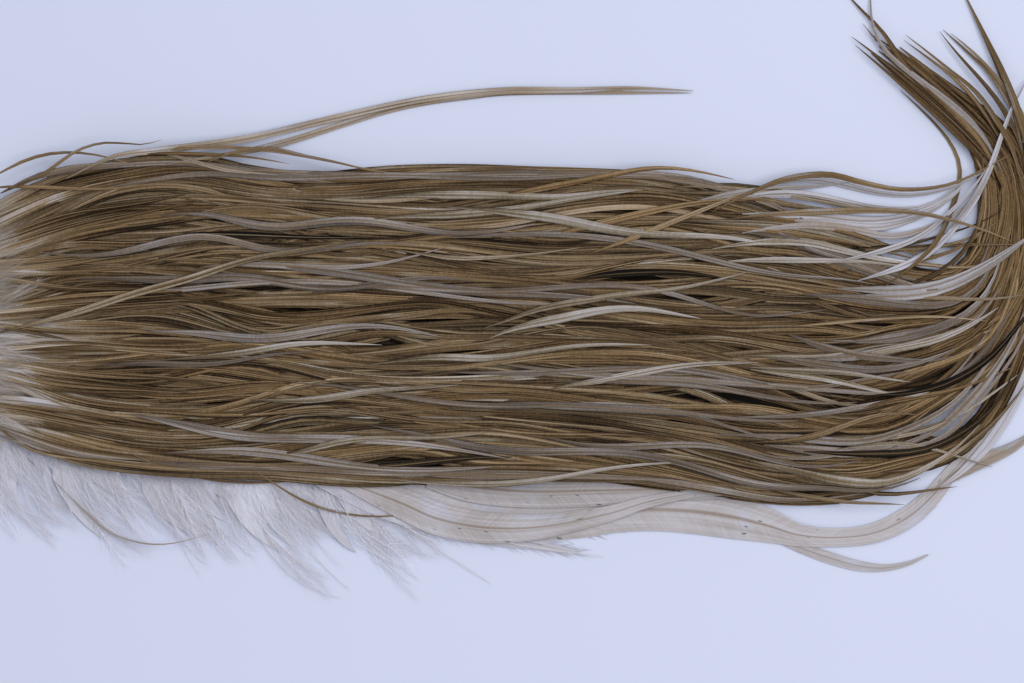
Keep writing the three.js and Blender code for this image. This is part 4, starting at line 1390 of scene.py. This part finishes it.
class Growth:
    """Geometry nodes with named inputs that grow feathers on a mesh of lines."""

    def __init__(self, name: str, sizes: Sizes) -> None:
        """Starts a tree.

        Args:
            name: The tree's name.
            sizes: The tree's named inputs and their first values.
        """
        self.tree = bpy.data.node_groups.new(name, "GeometryNodeTree")
        self.wiring = Wiring(self.tree)
        self._socket("Geometry", "NodeSocketGeometry")
        self._socket("Finish", "NodeSocketMaterial")
        for label, size in inputs_of(sizes).items():
            kind = "NodeSocketInt" if isinstance(size, int) else "NodeSocketFloat"
            self._socket(label, kind).default_value = size
        self.tree.interface.new_socket("Geometry", in_out="OUTPUT", socket_type="NodeSocketGeometry")
        self.given = self.wiring.add("NodeGroupInput").outputs

    def _socket(self, label: str, kind: str) -> bpy.types.NodeTreeInterfaceSocket:
        """Adds one input to the tree."""
        return self.tree.interface.new_socket(label, in_out="INPUT", socket_type=kind)

    def number(self, name: str) -> Socket:
        """A number that the lines' points carry."""
        return self.wiring.take("GeometryNodeInputNamedAttribute", {"Name": name})

    def keep(self, shape: Socket, name: str, value: Number) -> Socket:
        """Stores a number on every point of a shape."""
        inputs = {"Geometry": shape, "Name": name, "Value": value}
        return self.wiring.take("GeometryNodeStoreNamedAttribute", inputs)

    def lines(self) -> Socket:
        """The lines as curves that keep their feathers level, apart from their own roll."""
        curves = self.wiring.take("GeometryNodeMeshToCurve", {0: self.given["Geometry"]})
        level = self.wiring.take("GeometryNodeSetCurveNormal", {0: curves}, mode="Z_UP")
        inputs = {"Curve": level, "Tilt": self.number("roll")}
        return self.wiring.take("GeometryNodeSetCurveTilt", inputs)

    def sweep(self, lines: Socket, section: Socket) -> Socket:
        """Sweeps a section along the lines, as wide as their width number says."""
        inputs = {"Curve": lines, "Profile Curve": section, "Scale": self.number("width")}
        return self.wiring.take("GeometryNodeCurveToMesh", {**inputs, "Fill Caps": True})

    def end(self, shape: Socket) -> None:
        """Makes the result plain mesh with its finish."""
        real = self.wiring.take("GeometryNodeRealizeInstances", {0: shape})
        inputs = {"Geometry": real, "Material": self.given["Finish"]}
        done = self.wiring.take("GeometryNodeSetMaterial", inputs)
        self.wiring.add("NodeGroupOutput", {0: done})

    def grow(
        self, name: str, strands: Sequence[Strand], finish: bpy.types.Material, sizes: Sizes
    ) -> bpy.types.Object:
        """Grows the feathers and returns them as one plain mesh.

        Args:
            name: The new piece's name.
            strands: The feathers' lines.
            finish: The material.
            sizes: Values for the tree's named inputs.

        Returns:
            The finished piece.
        """
        source = add_object(name + "_lines", line_mesh(name + "_lines", strands))
        modifier = source.modifiers.new("grow", "NODES")
        modifier.node_group = self.tree
        values = {"Finish": finish, **inputs_of(sizes)}
        for item in self.tree.interface.items_tree:
            if item.in_out == "INPUT" and item.name in values:
                modifier[item.identifier] = values[item.name]
        graph = bpy.context.evaluated_depsgraph_get()
        mesh = bpy.data.meshes.new_from_object(
            source.evaluated_get(graph), preserve_all_data_layers=True, depsgraph=graph
        )
        source.modifiers.remove(modifier)
        bpy.data.objects.remove(source)
        mesh.name = name
        return add_object(name, mesh)


# What each number of a strand is given in
STRAND_UNITS = {"width": MM, "roll": 1, "tint": 1, "warmth": 1, "reach": MM, "turn": 1}


def line_mesh(name: str, strands: Sequence[Strand]) -> bpy.types.Mesh:
    """A mesh of open lines, one for each strand, with the strands' numbers on its points."""
    counts = [len(strand.points) for strand in strands]
    starts = np.concatenate([[0], np.cumsum(counts)[:-1]])
    edges = np.concatenate([
        np.stack([np.arange(c - 1), np.arange(1, c)], axis=1) + s for c, s in zip(counts, starts)
    ])
    mesh = bpy.data.meshes.new(name)
    mesh.from_pydata(np.concatenate([s.points for s in strands]) * MM, edges.tolist(), [])
    numbers = {
        "along": np.concatenate([distance_along(s.points) for s in strands]) * MM,
        "strand": np.repeat(np.arange(len(strands)), counts),
    }
    for label, unit in STRAND_UNITS.items():
        if getattr(strands[0], label) is not None:
            numbers[label] = np.concatenate([getattr(s, label) for s in strands]) * unit
    for label, values in numbers.items():
        store = mesh.attributes.new(label, "FLOAT", "POINT")
        store.data.foreach_set("value", values.astype(np.float32))
    return mesh


def vane_growth() -> Growth:
    """Geometry nodes that sweep a vane's section along each line: thin, folded, with a stem."""
    growth = Growth("feather_vanes", VaneSizes())
    wiring, given = growth.wiring, growth.given
    circle = wiring.take("GeometryNodeMeshCircle", {"Vertices": given["Section Points"], "Radius": 1.0})
    at = wiring.add("ShaderNodeSeparateXYZ", {0: wiring.take("GeometryNodeInputPosition")})
    out = wiring.math("POWER", wiring.math("ABSOLUTE", at.outputs["X"]), 1.5)
    across = wiring.times(wiring.math("SIGN", at.outputs["X"]), out)
    stem = wiring.math("SUBTRACT", 1.0, wiring.math("DIVIDE", out, given["Stem Width"]))
    stem = wiring.times(wiring.math("MAXIMUM", stem, 0.0), given["Stem Height"])
    web = wiring.times(at.outputs["Y"], given["Vane Thickness"])
    web = wiring.math("ADD", web, wiring.times(wiring.math("SIGN", at.outputs["Y"]), stem))
    height = wiring.math("ADD", web, wiring.times(out, given["Fold"]))
    marked = growth.keep(circle, "across", across)
    marked = growth.keep(marked, "upper", wiring.times(at.outputs["Y"], -1.0))
    inputs = {"Geometry": marked, "Position": wiring.vector(across, height, 0.0)}
    placed = wiring.take("GeometryNodeSetPosition", inputs)
    section = wiring.take("GeometryNodeMeshToCurve", {0: placed})
    growth.end(growth.sweep(growth.lines(), section))
    return growth


def barb_growth() -> Growth:
    """Geometry nodes that set loose barbs along both sides of each line, round a thin shaft."""
    growth = Growth("feather_barbs", BarbSizes())
    wiring, given = growth.wiring, growth.given
    lines = growth.lines()
    ring = wiring.take("GeometryNodeCurvePrimitiveCircle", {"Resolution": 5, "Radius": 1.0}, mode="RADIUS")
    shaft = growth.keep(growth.sweep(lines, ring), "side", 0.0)
    spaced = wiring.take(
        "GeometryNodeResampleCurve", {"Curve": lines, "Length": given["Spacing"]}, mode="LENGTH"
    )
    tangent = wiring.take("GeometryNodeInputTangent")
    normal = wiring.take("GeometryNodeInputNormal")
    left = wiring.take("ShaderNodeVectorMath", {0: normal, "Scale": -1.0}, operation="SCALE")
    heading = wiring.take(
        "FunctionNodeAxesToRotation", {0: tangent, 1: left}, primary_axis="X", secondary_axis="Y"
    )
    grown = [shaft]
    for side, number in ((1.0, 1.0), (-1.0, 2.0)):
        grown.append(_barb_row(growth, spaced, heading, side, number))
    joined = wiring.add("GeometryNodeJoinGeometry")
    for shape in grown:
        wiring.tree.links.new(shape, joined.inputs[0])
    growth.end(joined.outputs[0])
    return growth


def _barb_row(growth: Growth, points: Socket, heading: Socket, side: float, number: float) -> Socket:
    """The barbs on one side of the shafts.

    Args:
        growth: The tree that they go into.
        points: The places on the shafts that they grow from.
        heading: The rotation of the shaft at each place.
        side: 1 for the left side of the shafts and -1 for the right.
        number: What the side number of these barbs says.

    Returns:
        The row of barbs, as instances.
    """
    wiring, given = growth.wiring, growth.given
    grid = wiring.take(
        "GeometryNodeMeshGrid",
        {"Size X": 1.0, "Size Y": 1.0, "Vertices X": given["Barb Points"], "Vertices Y": 2},
    )
    at = wiring.add("ShaderNodeSeparateXYZ", {0: wiring.take("GeometryNodeInputPosition")})
    out = wiring.math("ADD", at.outputs["X"], 0.5)
    far = wiring.times(out, out)
    slim = wiring.math("MULTIPLY_ADD", out, -0.8, 1.0)
    wide = wiring.times(wiring.times(at.outputs["Y"], given["Barb Width"]), slim)
    bend = wiring.times(wiring.times(far, given["Bend"]), -side)
    sag = wiring.times(wiring.times(far, given["Sag"]), -1.0)
    marked = growth.keep(growth.keep(grid, "out", out), "side", number)
    place = wiring.vector(out, wiring.math("ADD", wide, bend), sag)
    barb = wiring.take("GeometryNodeSetPosition", {"Geometry": marked, "Position": place})
    chances = [_chance(growth, low, high, number + 2 * row) for row, (low, high) in enumerate(
        ((-1.0, 1.0), (-1.0, 1.0), (0.0, 1.0))
    )]
    yaw = wiring.math("MULTIPLY_ADD", chances[0], given["Turn Spread"], growth.number("turn"))
    pitch = wiring.times(chances[1], given["Lift Spread"])
    local = wiring.vector(0.0, wiring.times(pitch, -1.0), wiring.times(yaw, side))
    turned = wiring.take(
        "FunctionNodeRotateRotation", {"Rotation": heading, "Rotate By": local}, rotation_space="LOCAL"
    )
    short = wiring.times(chances[2], given["Shortening"])
    size = wiring.times(growth.number("reach"), wiring.math("SUBTRACT", 1.0, short))
    inputs = {
        "Points": points, "Instance": barb, "Rotation": turned,
        "Scale": wiring.vector(size, size, size),
    }
    return wiring.take("GeometryNodeInstanceOnPoints", inputs)


def _chance(growth: Growth, low: float, high: float, shift: float) -> Socket:
    """A seeded number between two limits for each barb."""
    seed = growth.wiring.math("ADD", growth.given["Seed"], shift)
    inputs = {2: low, 3: high, 8: seed}
    return growth.wiring.add("FunctionNodeRandomValue", inputs, data_type="FLOAT").outputs[1]


def read_number(mesh: bpy.types.Mesh, name: str) -> Array:
    """One number for each point of a mesh."""
    values = np.zeros(len(mesh.vertices), np.float32)
    mesh.attributes[name].data.foreach_get("value", values)
    return values


def corner_faces(mesh: bpy.types.Mesh) -> tuple[Array, Array, Array]:
    """For each face corner its point and its face, and the number of corners of each face."""
    points = np.zeros(len(mesh.loops), np.int32)
    mesh.loops.foreach_get("vertex_index", points)
    sizes = np.zeros(len(mesh.polygons), np.int32)
    mesh.polygons.foreach_get("loop_total", sizes)
    return points, np.repeat(np.arange(len(sizes)), sizes), sizes


def lay_strips(mesh: bpy.types.Mesh, strips: int) -> None:
    """Lays each feather as straight strips in the piece's own UV map, and drops spent numbers.

    Args:
        mesh: A mesh of swept vanes, or of barbs.
        strips: How many feathers it holds.
    """
    points, face, sizes = corner_faces(mesh)
    along = read_number(mesh, "along")[points]
    strand = np.round(read_number(mesh, "strand")[points])
    if "across" in mesh.attributes:
        upper = np.bincount(face, read_number(mesh, "upper")[points]) / sizes
        row = 2 * strand + (upper[face] < 0)
        up = 0.5 + 0.5 * read_number(mesh, "across")[points]
        rows = 2 * strips
    else:
        row = 3 * strand + np.round(read_number(mesh, "side")[points])
        up = read_number(mesh, "out")[points]
        rows = 3 * strips
    u = along / max(along.max(), 1e-6) * 0.98 + 0.01
    v = (row + 0.1 + 0.8 * up) / rows
    layer = mesh.uv_layers.new(name="OFBake")
    layer.data.foreach_set("uv", np.stack([u, v], axis=1).astype(np.float32).ravel())
    for spent in ("width", "roll", "reach", "turn", "upper"):
        if spent in mesh.attributes:
            mesh.attributes.remove(mesh.attributes[spent])


def rest_on_table(mesh: bpy.types.Mesh) -> None:
    """Lifts what would dip into the table until it lies on it."""
    places = np.zeros(3 * len(mesh.vertices), np.float32)
    mesh.vertices.foreach_get("co", places)
    height = places[2::3]
    low = height < LEAST_HEIGHT
    sunk = (height[low] - LEAST_HEIGHT) / (5 * LEAST_HEIGHT)
    height[low] = 0.5 * LEAST_HEIGHT * (1 + np.exp(sunk))
    mesh.vertices.foreach_set("co", places)
    mesh.update()


def spin(rng: Rng, direction: float, spread: float) -> Array:
    """A unit direction in plan near a given one, both in degrees."""
    turn = math.radians(direction + rng.normal(0, spread))
    return np.array([math.cos(turn), math.sin(turn)])


def tuck_under(plan: Array, height: Array) -> Array:
    """Keeps down low where the mantle's outer edge lies over it.

    Args:
        plan: Plan positions.
        height: Their heights in the open.

    Returns:
        The heights that stay under the mantle's strands.
    """
    edge = np.interp(plan[:, 0], RIBS[:9, 4], RIBS[:9, 5])
    inside = rise(plan[:, 1] - edge, -3.0, 3.0)
    return height + (np.minimum(height, 0.6) - height) * inside


@dataclass
class FluffMaker:
    """Makes the lines of down feathers: short shafts with long loose barbs. All in millimetres."""

    mantle: Mantle
    plume_feathers: int = 84
    plume_half: float = 13.0
    webs_in_plume: int = 9
    webs_half: float = 12.5
    hump: float = 1.8
    hump_at: float = 9
    hump_reach: float = 8
    cover_feathers: int = 56
    front_feathers: int = 84
    front_half: float = 25

    @staticmethod
    def feather(rng: Rng, line: Array, reach: float, turn: float, tint: float, warmth: float) -> Strand:
        """Dresses one down feather.

        Args:
            rng: The seeded source of chance.
            line: Its shaft.
            reach: The length of its barbs.
            turn: The angle of its barbs to the shaft, in degrees.
            tint: How pale it is.
            warmth: How creamy it is.

        Returns:
            The feather.
        """
        gone = distance_along(line)
        share = gone / gone[-1]
        barbs = reach * (0.8 + 0.2 * np.sin(math.pi * share)) * (1 - 0.35 * share**2)
        angle = np.radians(turn) * (1 - 0.35 * share) + np.radians(wander(rng, gone, 5, (4, 14)))
        flat = np.ones(len(line))
        width = 0.05 * (1 - 0.7 * share) + 0.012
        roll = np.radians(rng.normal(0, 12)) * flat
        return Strand(line, width, tint * flat, warmth * flat, roll, barbs, angle)

    def _hump(self, gone: Array) -> Array:
        """How much higher down lies where it comes out from under the mantle's edge."""
        return self.hump * bell(gone - self.hump_at, self.hump_reach)

    def plume(self, number: int) -> list[Strand]:
        """The down feathers of one plume, which spread from under the mantle's edge over the table."""
        rng = np.random.default_rng(Seed.PLUME + number)
        spine = curve_through(DOWN_PLUMES[number], 1.0)
        aside = aside_of(spine)
        feathers = []
        for place in np.linspace(-1, 1, self.plume_feathers):
            off = (place + rng.normal(0, 0.1)) * self.plume_half
            start = int(len(spine) * rng.uniform(0.0, 0.55))
            part = spine[start : start + int(rng.uniform(9, 15))]
            gone = distance_along(part)
            drift = off + wander(rng, gone, 1.0, (20, 60)) + rng.normal(0, 3.5) * gone / 20
            plan = part + aside[start : start + len(part)] * drift[:, None]
            height = 0.4 + rng.uniform(0, 1.6) + self._hump(gone + start)
            line = eased(np.column_stack([plan, tuck_under(plan, height)]), 3.0, 1.5)
            reach, turn = rng.uniform(5, 9), rng.uniform(14, 34)
            feathers.append(self.feather(rng, line, reach, turn, rng.uniform(0.3, 1.0), 0.25))
        return feathers

    def webs(self, number: int) -> list[Strand]:
        """Broad thin webs under a plume, which close the gaps between its feathers."""
        rng = np.random.default_rng(Seed.WEB + number)
        spine = curve_through(DOWN_PLUMES[number], 1.5)
        aside = aside_of(spine)
        webs = []
        for place in np.linspace(-1, 1, self.webs_in_plume):
            part = spine[: int(len(spine) * rng.uniform(0.42, 0.62))]
            gone = distance_along(part)
            flat = np.ones(len(part))
            drift = place * self.webs_half + wander(rng, gone, 1.0, (20, 60))
            drift += rng.normal(0, 1.5) * gone / 20
            plan = part + aside[: len(part)] * drift[:, None]
            height = tuck_under(plan, rng.uniform(0.15, 0.5) + self._hump(gone))
            half = rng.uniform(2.6, 3.8) * (1 - (gone / gone[-1]) ** 2.2) + 0.1
            half = half * np.clip(0.1 + gone / 7, 0, 1)
            tint = rng.uniform(0.4, 0.8) * flat
            webs.append(Strand(np.column_stack([plan, height]), half, tint, 0.25 * flat, 0 * flat))
        return webs

    def blade(self, seed: int, route: Route) -> Strand:
        """A pointed downy feather with a firmer edge."""
        rng = np.random.default_rng(seed)
        plan = curve_through(route, 1.5)
        height = 0.8 + 1.2 * np.exp(-distance_along(plan) / 12)
        blade = self.feather(rng, np.column_stack([plan, height]), 4.5, 16, 0.5, 0.5)
        blade.width = blade.width * 2.0
        return blade

    def cover_fluff(self, number: int) -> list[Strand]:
        """Cream fluff over the roots of one group of short front feathers."""
        rng = np.random.default_rng(Seed.COVER_FLUFF + number)
        start, tip = np.array(COVER_ENDS[number])
        heading = math.degrees(math.atan2(*(tip - start)[::-1]))
        feathers = []
        forward = rng.uniform(15, 23)
        for _ in range(self.cover_feathers):
            root = start + (rng.uniform(-7, forward * rng.uniform(0.4, 1.0)), rng.normal(0, 4.4))
            length = rng.uniform(7, 14)
            ahead = spin(rng, heading * 2.6, 8)
            gone = np.linspace(0, length, 10)
            plan = root + np.outer(gone, ahead) + np.outer(wander(rng, gone, 0.5, (15, 40)), ahead[::-1])
            height = self.mantle.top(plan) + rng.uniform(-0.2, 0.8) + 0.5 * np.sin(gone / length * 3)
            line = np.column_stack([plan, height])
            reach, turn = rng.uniform(4, 8), rng.uniform(10, 24)
            tint, warmth = rng.uniform(0.2, 1.0), rng.uniform(0.0, 0.7)
            feathers.append(self.feather(rng, line, reach, turn, tint, warmth))
        return feathers

    def front(self) -> list[Strand]:
        """Down that lies round the front of the roots."""
        rng = np.random.default_rng(Seed.FRONT)
        feathers = []
        for y in np.linspace(-self.front_half, self.front_half, self.front_feathers):
            root = np.array([rng.uniform(-37, -30) + 0.008 * y**2, y + rng.normal(0, 0.6)])
            ahead = spin(rng, 1.2 * y, 14)
            gone = np.linspace(0, rng.uniform(5, 9), 8)
            plan = root + np.outer(gone, ahead)
            line = np.column_stack([plan, rng.uniform(1.6, 2.8) + 0.4 * gone])
            feathers.append(self.feather(rng, line, 4.0, 24, rng.uniform(0.5, 1.0), 0.5))
        return feathers


@dataclass
class CoverMaker:
    """Makes the short narrow feathers of one group at the front. Lengths are in millimetres."""

    mantle: Mantle
    count: int = 7
    fan: float = 3.0
    taper: float = 30
    tint: float = 0.31

    def strands(self, number: int) -> list[Strand]:
        """The group's feathers, which fan a little round its middle line."""
        rng = np.random.default_rng(Seed.COVER + number)
        start, tip = np.array(COVER_ENDS[number])
        strands = []
        for place in np.linspace(-1, 1, self.count):
            share = np.linspace(0.02, rng.uniform(0.7, 1.0), 30)
            plan = start + (tip - start) * share[:, None]
            gone = distance_along(plan)
            plan[:, 1] += place * self.fan * (1 - 0.3 * share) + wander(rng, gone, 0.6, (50, 120))
            plan[:, 1] += gather(plan)
            lift = rng.uniform(0, 0.6) * np.sin(math.pi * share) ** 0.5
            line = eased(np.column_stack([plan, self.mantle.top(plan) + lift]), 4.0, 4.0)
            gone = distance_along(line)
            width = vane_width(gone, rng.uniform(1.2, 2.0), self.taper)
            root = near_root(line, rng.uniform(-12, 6))
            tint = self.tint + rng.normal(0, 0.05) + wander(rng, gone, 0.03, (30, 80)) + 0.45 * root
            roll = np.radians(rng.normal(0, 14) + wander(rng, gone, 10, (40, 90)))
            strands.append(Strand(line, width, np.clip(tint, 0, 1), 0.8 - 0.3 * root, roll))
        return strands


@dataclass
class WebMaker:
    """Makes a broad side feather: a firm web, and the soft barbs round it. Lengths in millimetres."""

    step: float = 1.5
    barb_turns: Span = (34, 22)
    inset: float = 0.08
    below_web: float = 0.05
    shaft: float = 0.1
    least_shaft: float = 0.02

    def strands(self, feather: SideFeather, seed: int) -> tuple[Strand, Strand]:
        """The feather's web and its fringe, as one line each."""
        rng = np.random.default_rng(seed)
        table = curve_through(feather.route, self.step)
        line, full = table[:, :3], table[:, 3]
        gone = distance_along(table)
        share = gone / gone[-1]
        tint = feather.tint + wander(rng, gone, 0.02, (20, 60))
        roll = np.radians(wander(rng, gone, 0.8, (60, 140)))
        warmth = np.full(len(line), feather.warmth)
        first, last = self.barb_turns
        turn = np.radians(first - (first - last) * share) + np.radians(wander(rng, gone, 3, (10, 40)))
        reach = 0.5 * (full + feather.fringe) / np.sin(turn - self.inset)
        reach = reach * (1 - 0.35 * rise(share, 0.2, 0.2))
        shaft = self.shaft * (1 - 0.75 * share) + self.least_shaft
        fringe = Strand(line - (0, 0, self.below_web), shaft, tint, warmth, roll, reach, turn)
        return Strand(line, 0.5 * full, tint, warmth, roll), fringe


@dataclass
class Pelt:
    """The whole object: makes the pieces, dresses them and puts each in place of its solid."""

    mantle: Mantle
    vanes: Growth
    barbs: Growth
    materials: dict[Look, bpy.types.Material]
    made: int = 0

    def piece(self, name: str, strands: Sequence[Strand], node: str, look: Look) -> None:
        """Grows one piece, ties it to the body and hides the solid that it takes the place of.

        Args:
            name: The piece's name.
            strands: The feathers' lines.
            node: The solid that it takes the place of.
            look: Its kind.
        """
        coat: Coat = look.value
        growth = self.barbs if isinstance(coat.sizes, BarbSizes) else self.vanes
        piece = growth.grow(name, strands, self.materials[look], coat.sizes)
        lay_strips(piece.data, len(strands))
        rest_on_table(piece.data)
        piece.data.set_sharp_from_angle(angle=RIM_ANGLE)
        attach(piece, "root")
        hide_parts(node)
        count = sum(len(face.vertices) - 2 for face in piece.data.polygons)
        self.made += count
        LOG.info("%s: %d triangles, %d in all", piece.name, count, self.made)

    def _by_lock(self, landmarks: Sequence[Landmark], seed: int) -> dict[int, list[Strand]]:
        """Lays single feathers and sorts them by the upper lock that is nearest to their middle."""
        sorted_out: dict[int, list[Strand]] = {}
        for number, landmark in enumerate(landmarks):
            strand = landmark.strand(self.mantle, seed + number)
            rib, share, _ = self.mantle.nearest(strand.points[len(strand.points) // 2, :2])
            sorted_out.setdefault(TOP.lock_at(rib, share), []).append(strand)
        return sorted_out

    def locks(self) -> None:
        """Makes one piece for each lock, with the feathers that stand out in it."""
        maker = LockMaker()
        firm = self._by_lock(FIRM_FEATHERS, Seed.FIRM)
        sheer = self._by_lock(SHEER_FEATHERS + scattered(), Seed.SHEER)
        for layer in (UNDER, TOP):
            for lock in range(len(layer.ends)):
                node = f"{layer.name}_{lock + 1:02d}"
                strands = maker.strands(layer, lock)
                if layer is TOP:
                    strands += firm.get(lock, [])
                self.piece("feathers_of_" + node, strands, node, Look.FIRM)
        for lock, strands in sorted(sheer.items()):
            node = f"{TOP.name}_{lock + 1:02d}"
            self.piece("sheer_feathers_of_" + node, strands, node, Look.SHEER)

    def strays(self) -> None:
        """Makes the single hackles that stray out of the mantle."""
        for number, stray in enumerate(STRAYS):
            strand = stray.strand(Seed.STRAY + number)
            self.piece("hackle_" + stray.node, [strand], stray.node, Look.SHEER)

    def side_feathers(self) -> None:
        """Makes the broad webby feathers along the lower edge."""
        maker = WebMaker()
        for number, feather in enumerate(SIDE_FEATHERS):
            web, fringe = maker.strands(feather, Seed.SIDE + number)
            self.piece("web_of_" + feather.name, [web], feather.node, Look.WEBBY)
            self.piece("fringe_of_" + feather.name, [fringe], feather.node, Look.FRINGE)

    def down(self) -> None:
        """Makes the plumes of down and the band round the front."""
        maker = FluffMaker(self.mantle)
        for number in range(len(DOWN_PLUMES)):
            blades = [route for plume, route in DOWN_BLADES if plume == number]
            seed = Seed.BLADE + 10 * number
            feathers = maker.plume(number) + [maker.blade(seed + at, one) for at, one in enumerate(blades)]
            node = f"down_plume_{number + 1}"
            self.piece("web_of_" + node, maker.webs(number), node, Look.DOWN_WEB)
            self.piece("fluff_of_" + node, feathers, node, Look.DOWN)
        self.piece("fluff_of_front_down", maker.front(), "front_down", Look.DOWN)

    def covers(self) -> None:
        """Makes the short front feathers, with fluff over their roots."""
        maker, fluff = CoverMaker(self.mantle), FluffMaker(self.mantle)
        for number in range(len(COVER_ENDS)):
            node = f"cover_feather_{number + 1}"
            self.piece("feathers_of_" + node, maker.strands(number), node, Look.FIRM)
            self.piece("fluff_of_" + node, fluff.cover_fluff(number), node, Look.COVER_DOWN)

    def skin(self) -> None:
        """Dresses the skin, which stays as the solid that it is."""
        skin = bpy.data.objects["skin"]
        skin.data.materials.clear()
        skin.data.materials.append(SkinFinish().material())


@dataclass
class Studio:
    """Plain pale table, soft light and a camera straight above. Places and sizes are in metres."""

    photo_width: float = 268.8 * MM
    centre: Span = (123.9 * MM, -4.3 * MM)
    camera_height: float = 0.9
    sensor: float = 36.0
    table_half: float = 4.0
    table_top: float = -0.1 * MM
    lamp_place: tuple[float, float, float] = (0.4, 0.12, 1.0)
    lamp_aim: tuple[float, float, float] = (0.12, 0.0, 0.0)
    lamp_size: Span = (0.9, 0.7)
    lamp_power: float = 8.8
    surround: float = 0.55

    def build(self) -> None:
        """Makes the table, the lights and the camera."""
        self._table()
        self._lights()
        self._camera()

    def _table(self) -> None:
        """A large pale sheet just under the object."""
        mesh = bpy.data.meshes.new("table")
        corners = [(-1, -1), (1, -1), (1, 1), (-1, 1)]
        places = [(x * self.table_half, y * self.table_half, self.table_top) for x, y in corners]
        mesh.from_pydata(places, [], [(0, 1, 2, 3)])
        table = add_object("table", mesh)
        coating = Coating("pale_table")
        wiring = coating.wiring
        cloud = wiring.noise(wiring.add("ShaderNodeTexCoord").outputs["Object"], 3.0)
        coating.paint(wiring.mix(cloud, linear(193, 199, 217), linear(198, 204, 222)))
        coating.shader.inputs["Roughness"].default_value = 0.8
        mesh.materials.append(coating.material)

    def _lights(self) -> None:
        """One broad soft light above and to the right, and an even pale surround."""
        lamp = bpy.data.lights.new("soft_box", "AREA")
        lamp.shape = "RECTANGLE"
        lamp.size, lamp.size_y = self.lamp_size
        lamp.energy = self.lamp_power
        box = add_object("soft_box", lamp)
        box.location = self.lamp_place
        away = np.array(self.lamp_aim) - np.array(box.location)
        tilt = math.atan2(math.hypot(away[0], away[1]), -away[2])
        box.rotation_euler = (tilt, 0, math.atan2(away[1], away[0]) - math.pi / 2)
        world = bpy.data.worlds.new("surround")
        world.use_nodes = True
        backdrop = world.node_tree.nodes["Background"]
        backdrop.inputs["Color"].default_value = linear(240, 242, 255)
        backdrop.inputs["Strength"].default_value = self.surround
        bpy.context.scene.world = world
        bpy.context.scene.view_settings.view_transform = "Standard"

    def _camera(self) -> None:
        """A camera straight above the middle of the photograph's frame."""
        data = bpy.data.cameras.new("camera")
        data.sensor_width = self.sensor
        data.lens = self.sensor * self.camera_height / self.photo_width
        data.clip_end = 20.0
        camera = add_object("camera", data)
        camera.location = (*self.centre, self.camera_height)
        bpy.context.scene.camera = camera


def main() -> None:
    logging.basicConfig(level=logging.INFO, format="%(message)s")
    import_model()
    Studio().build()
    materials = {look: look.value.finish.material() for look in Look}
    pelt = Pelt(Mantle(), vane_growth(), barb_growth(), materials)
    pelt.skin()
    pelt.locks()
    pelt.covers()
    pelt.strays()
    pelt.side_feathers()
    pelt.down()


if __name__ == "__main__":
    main()
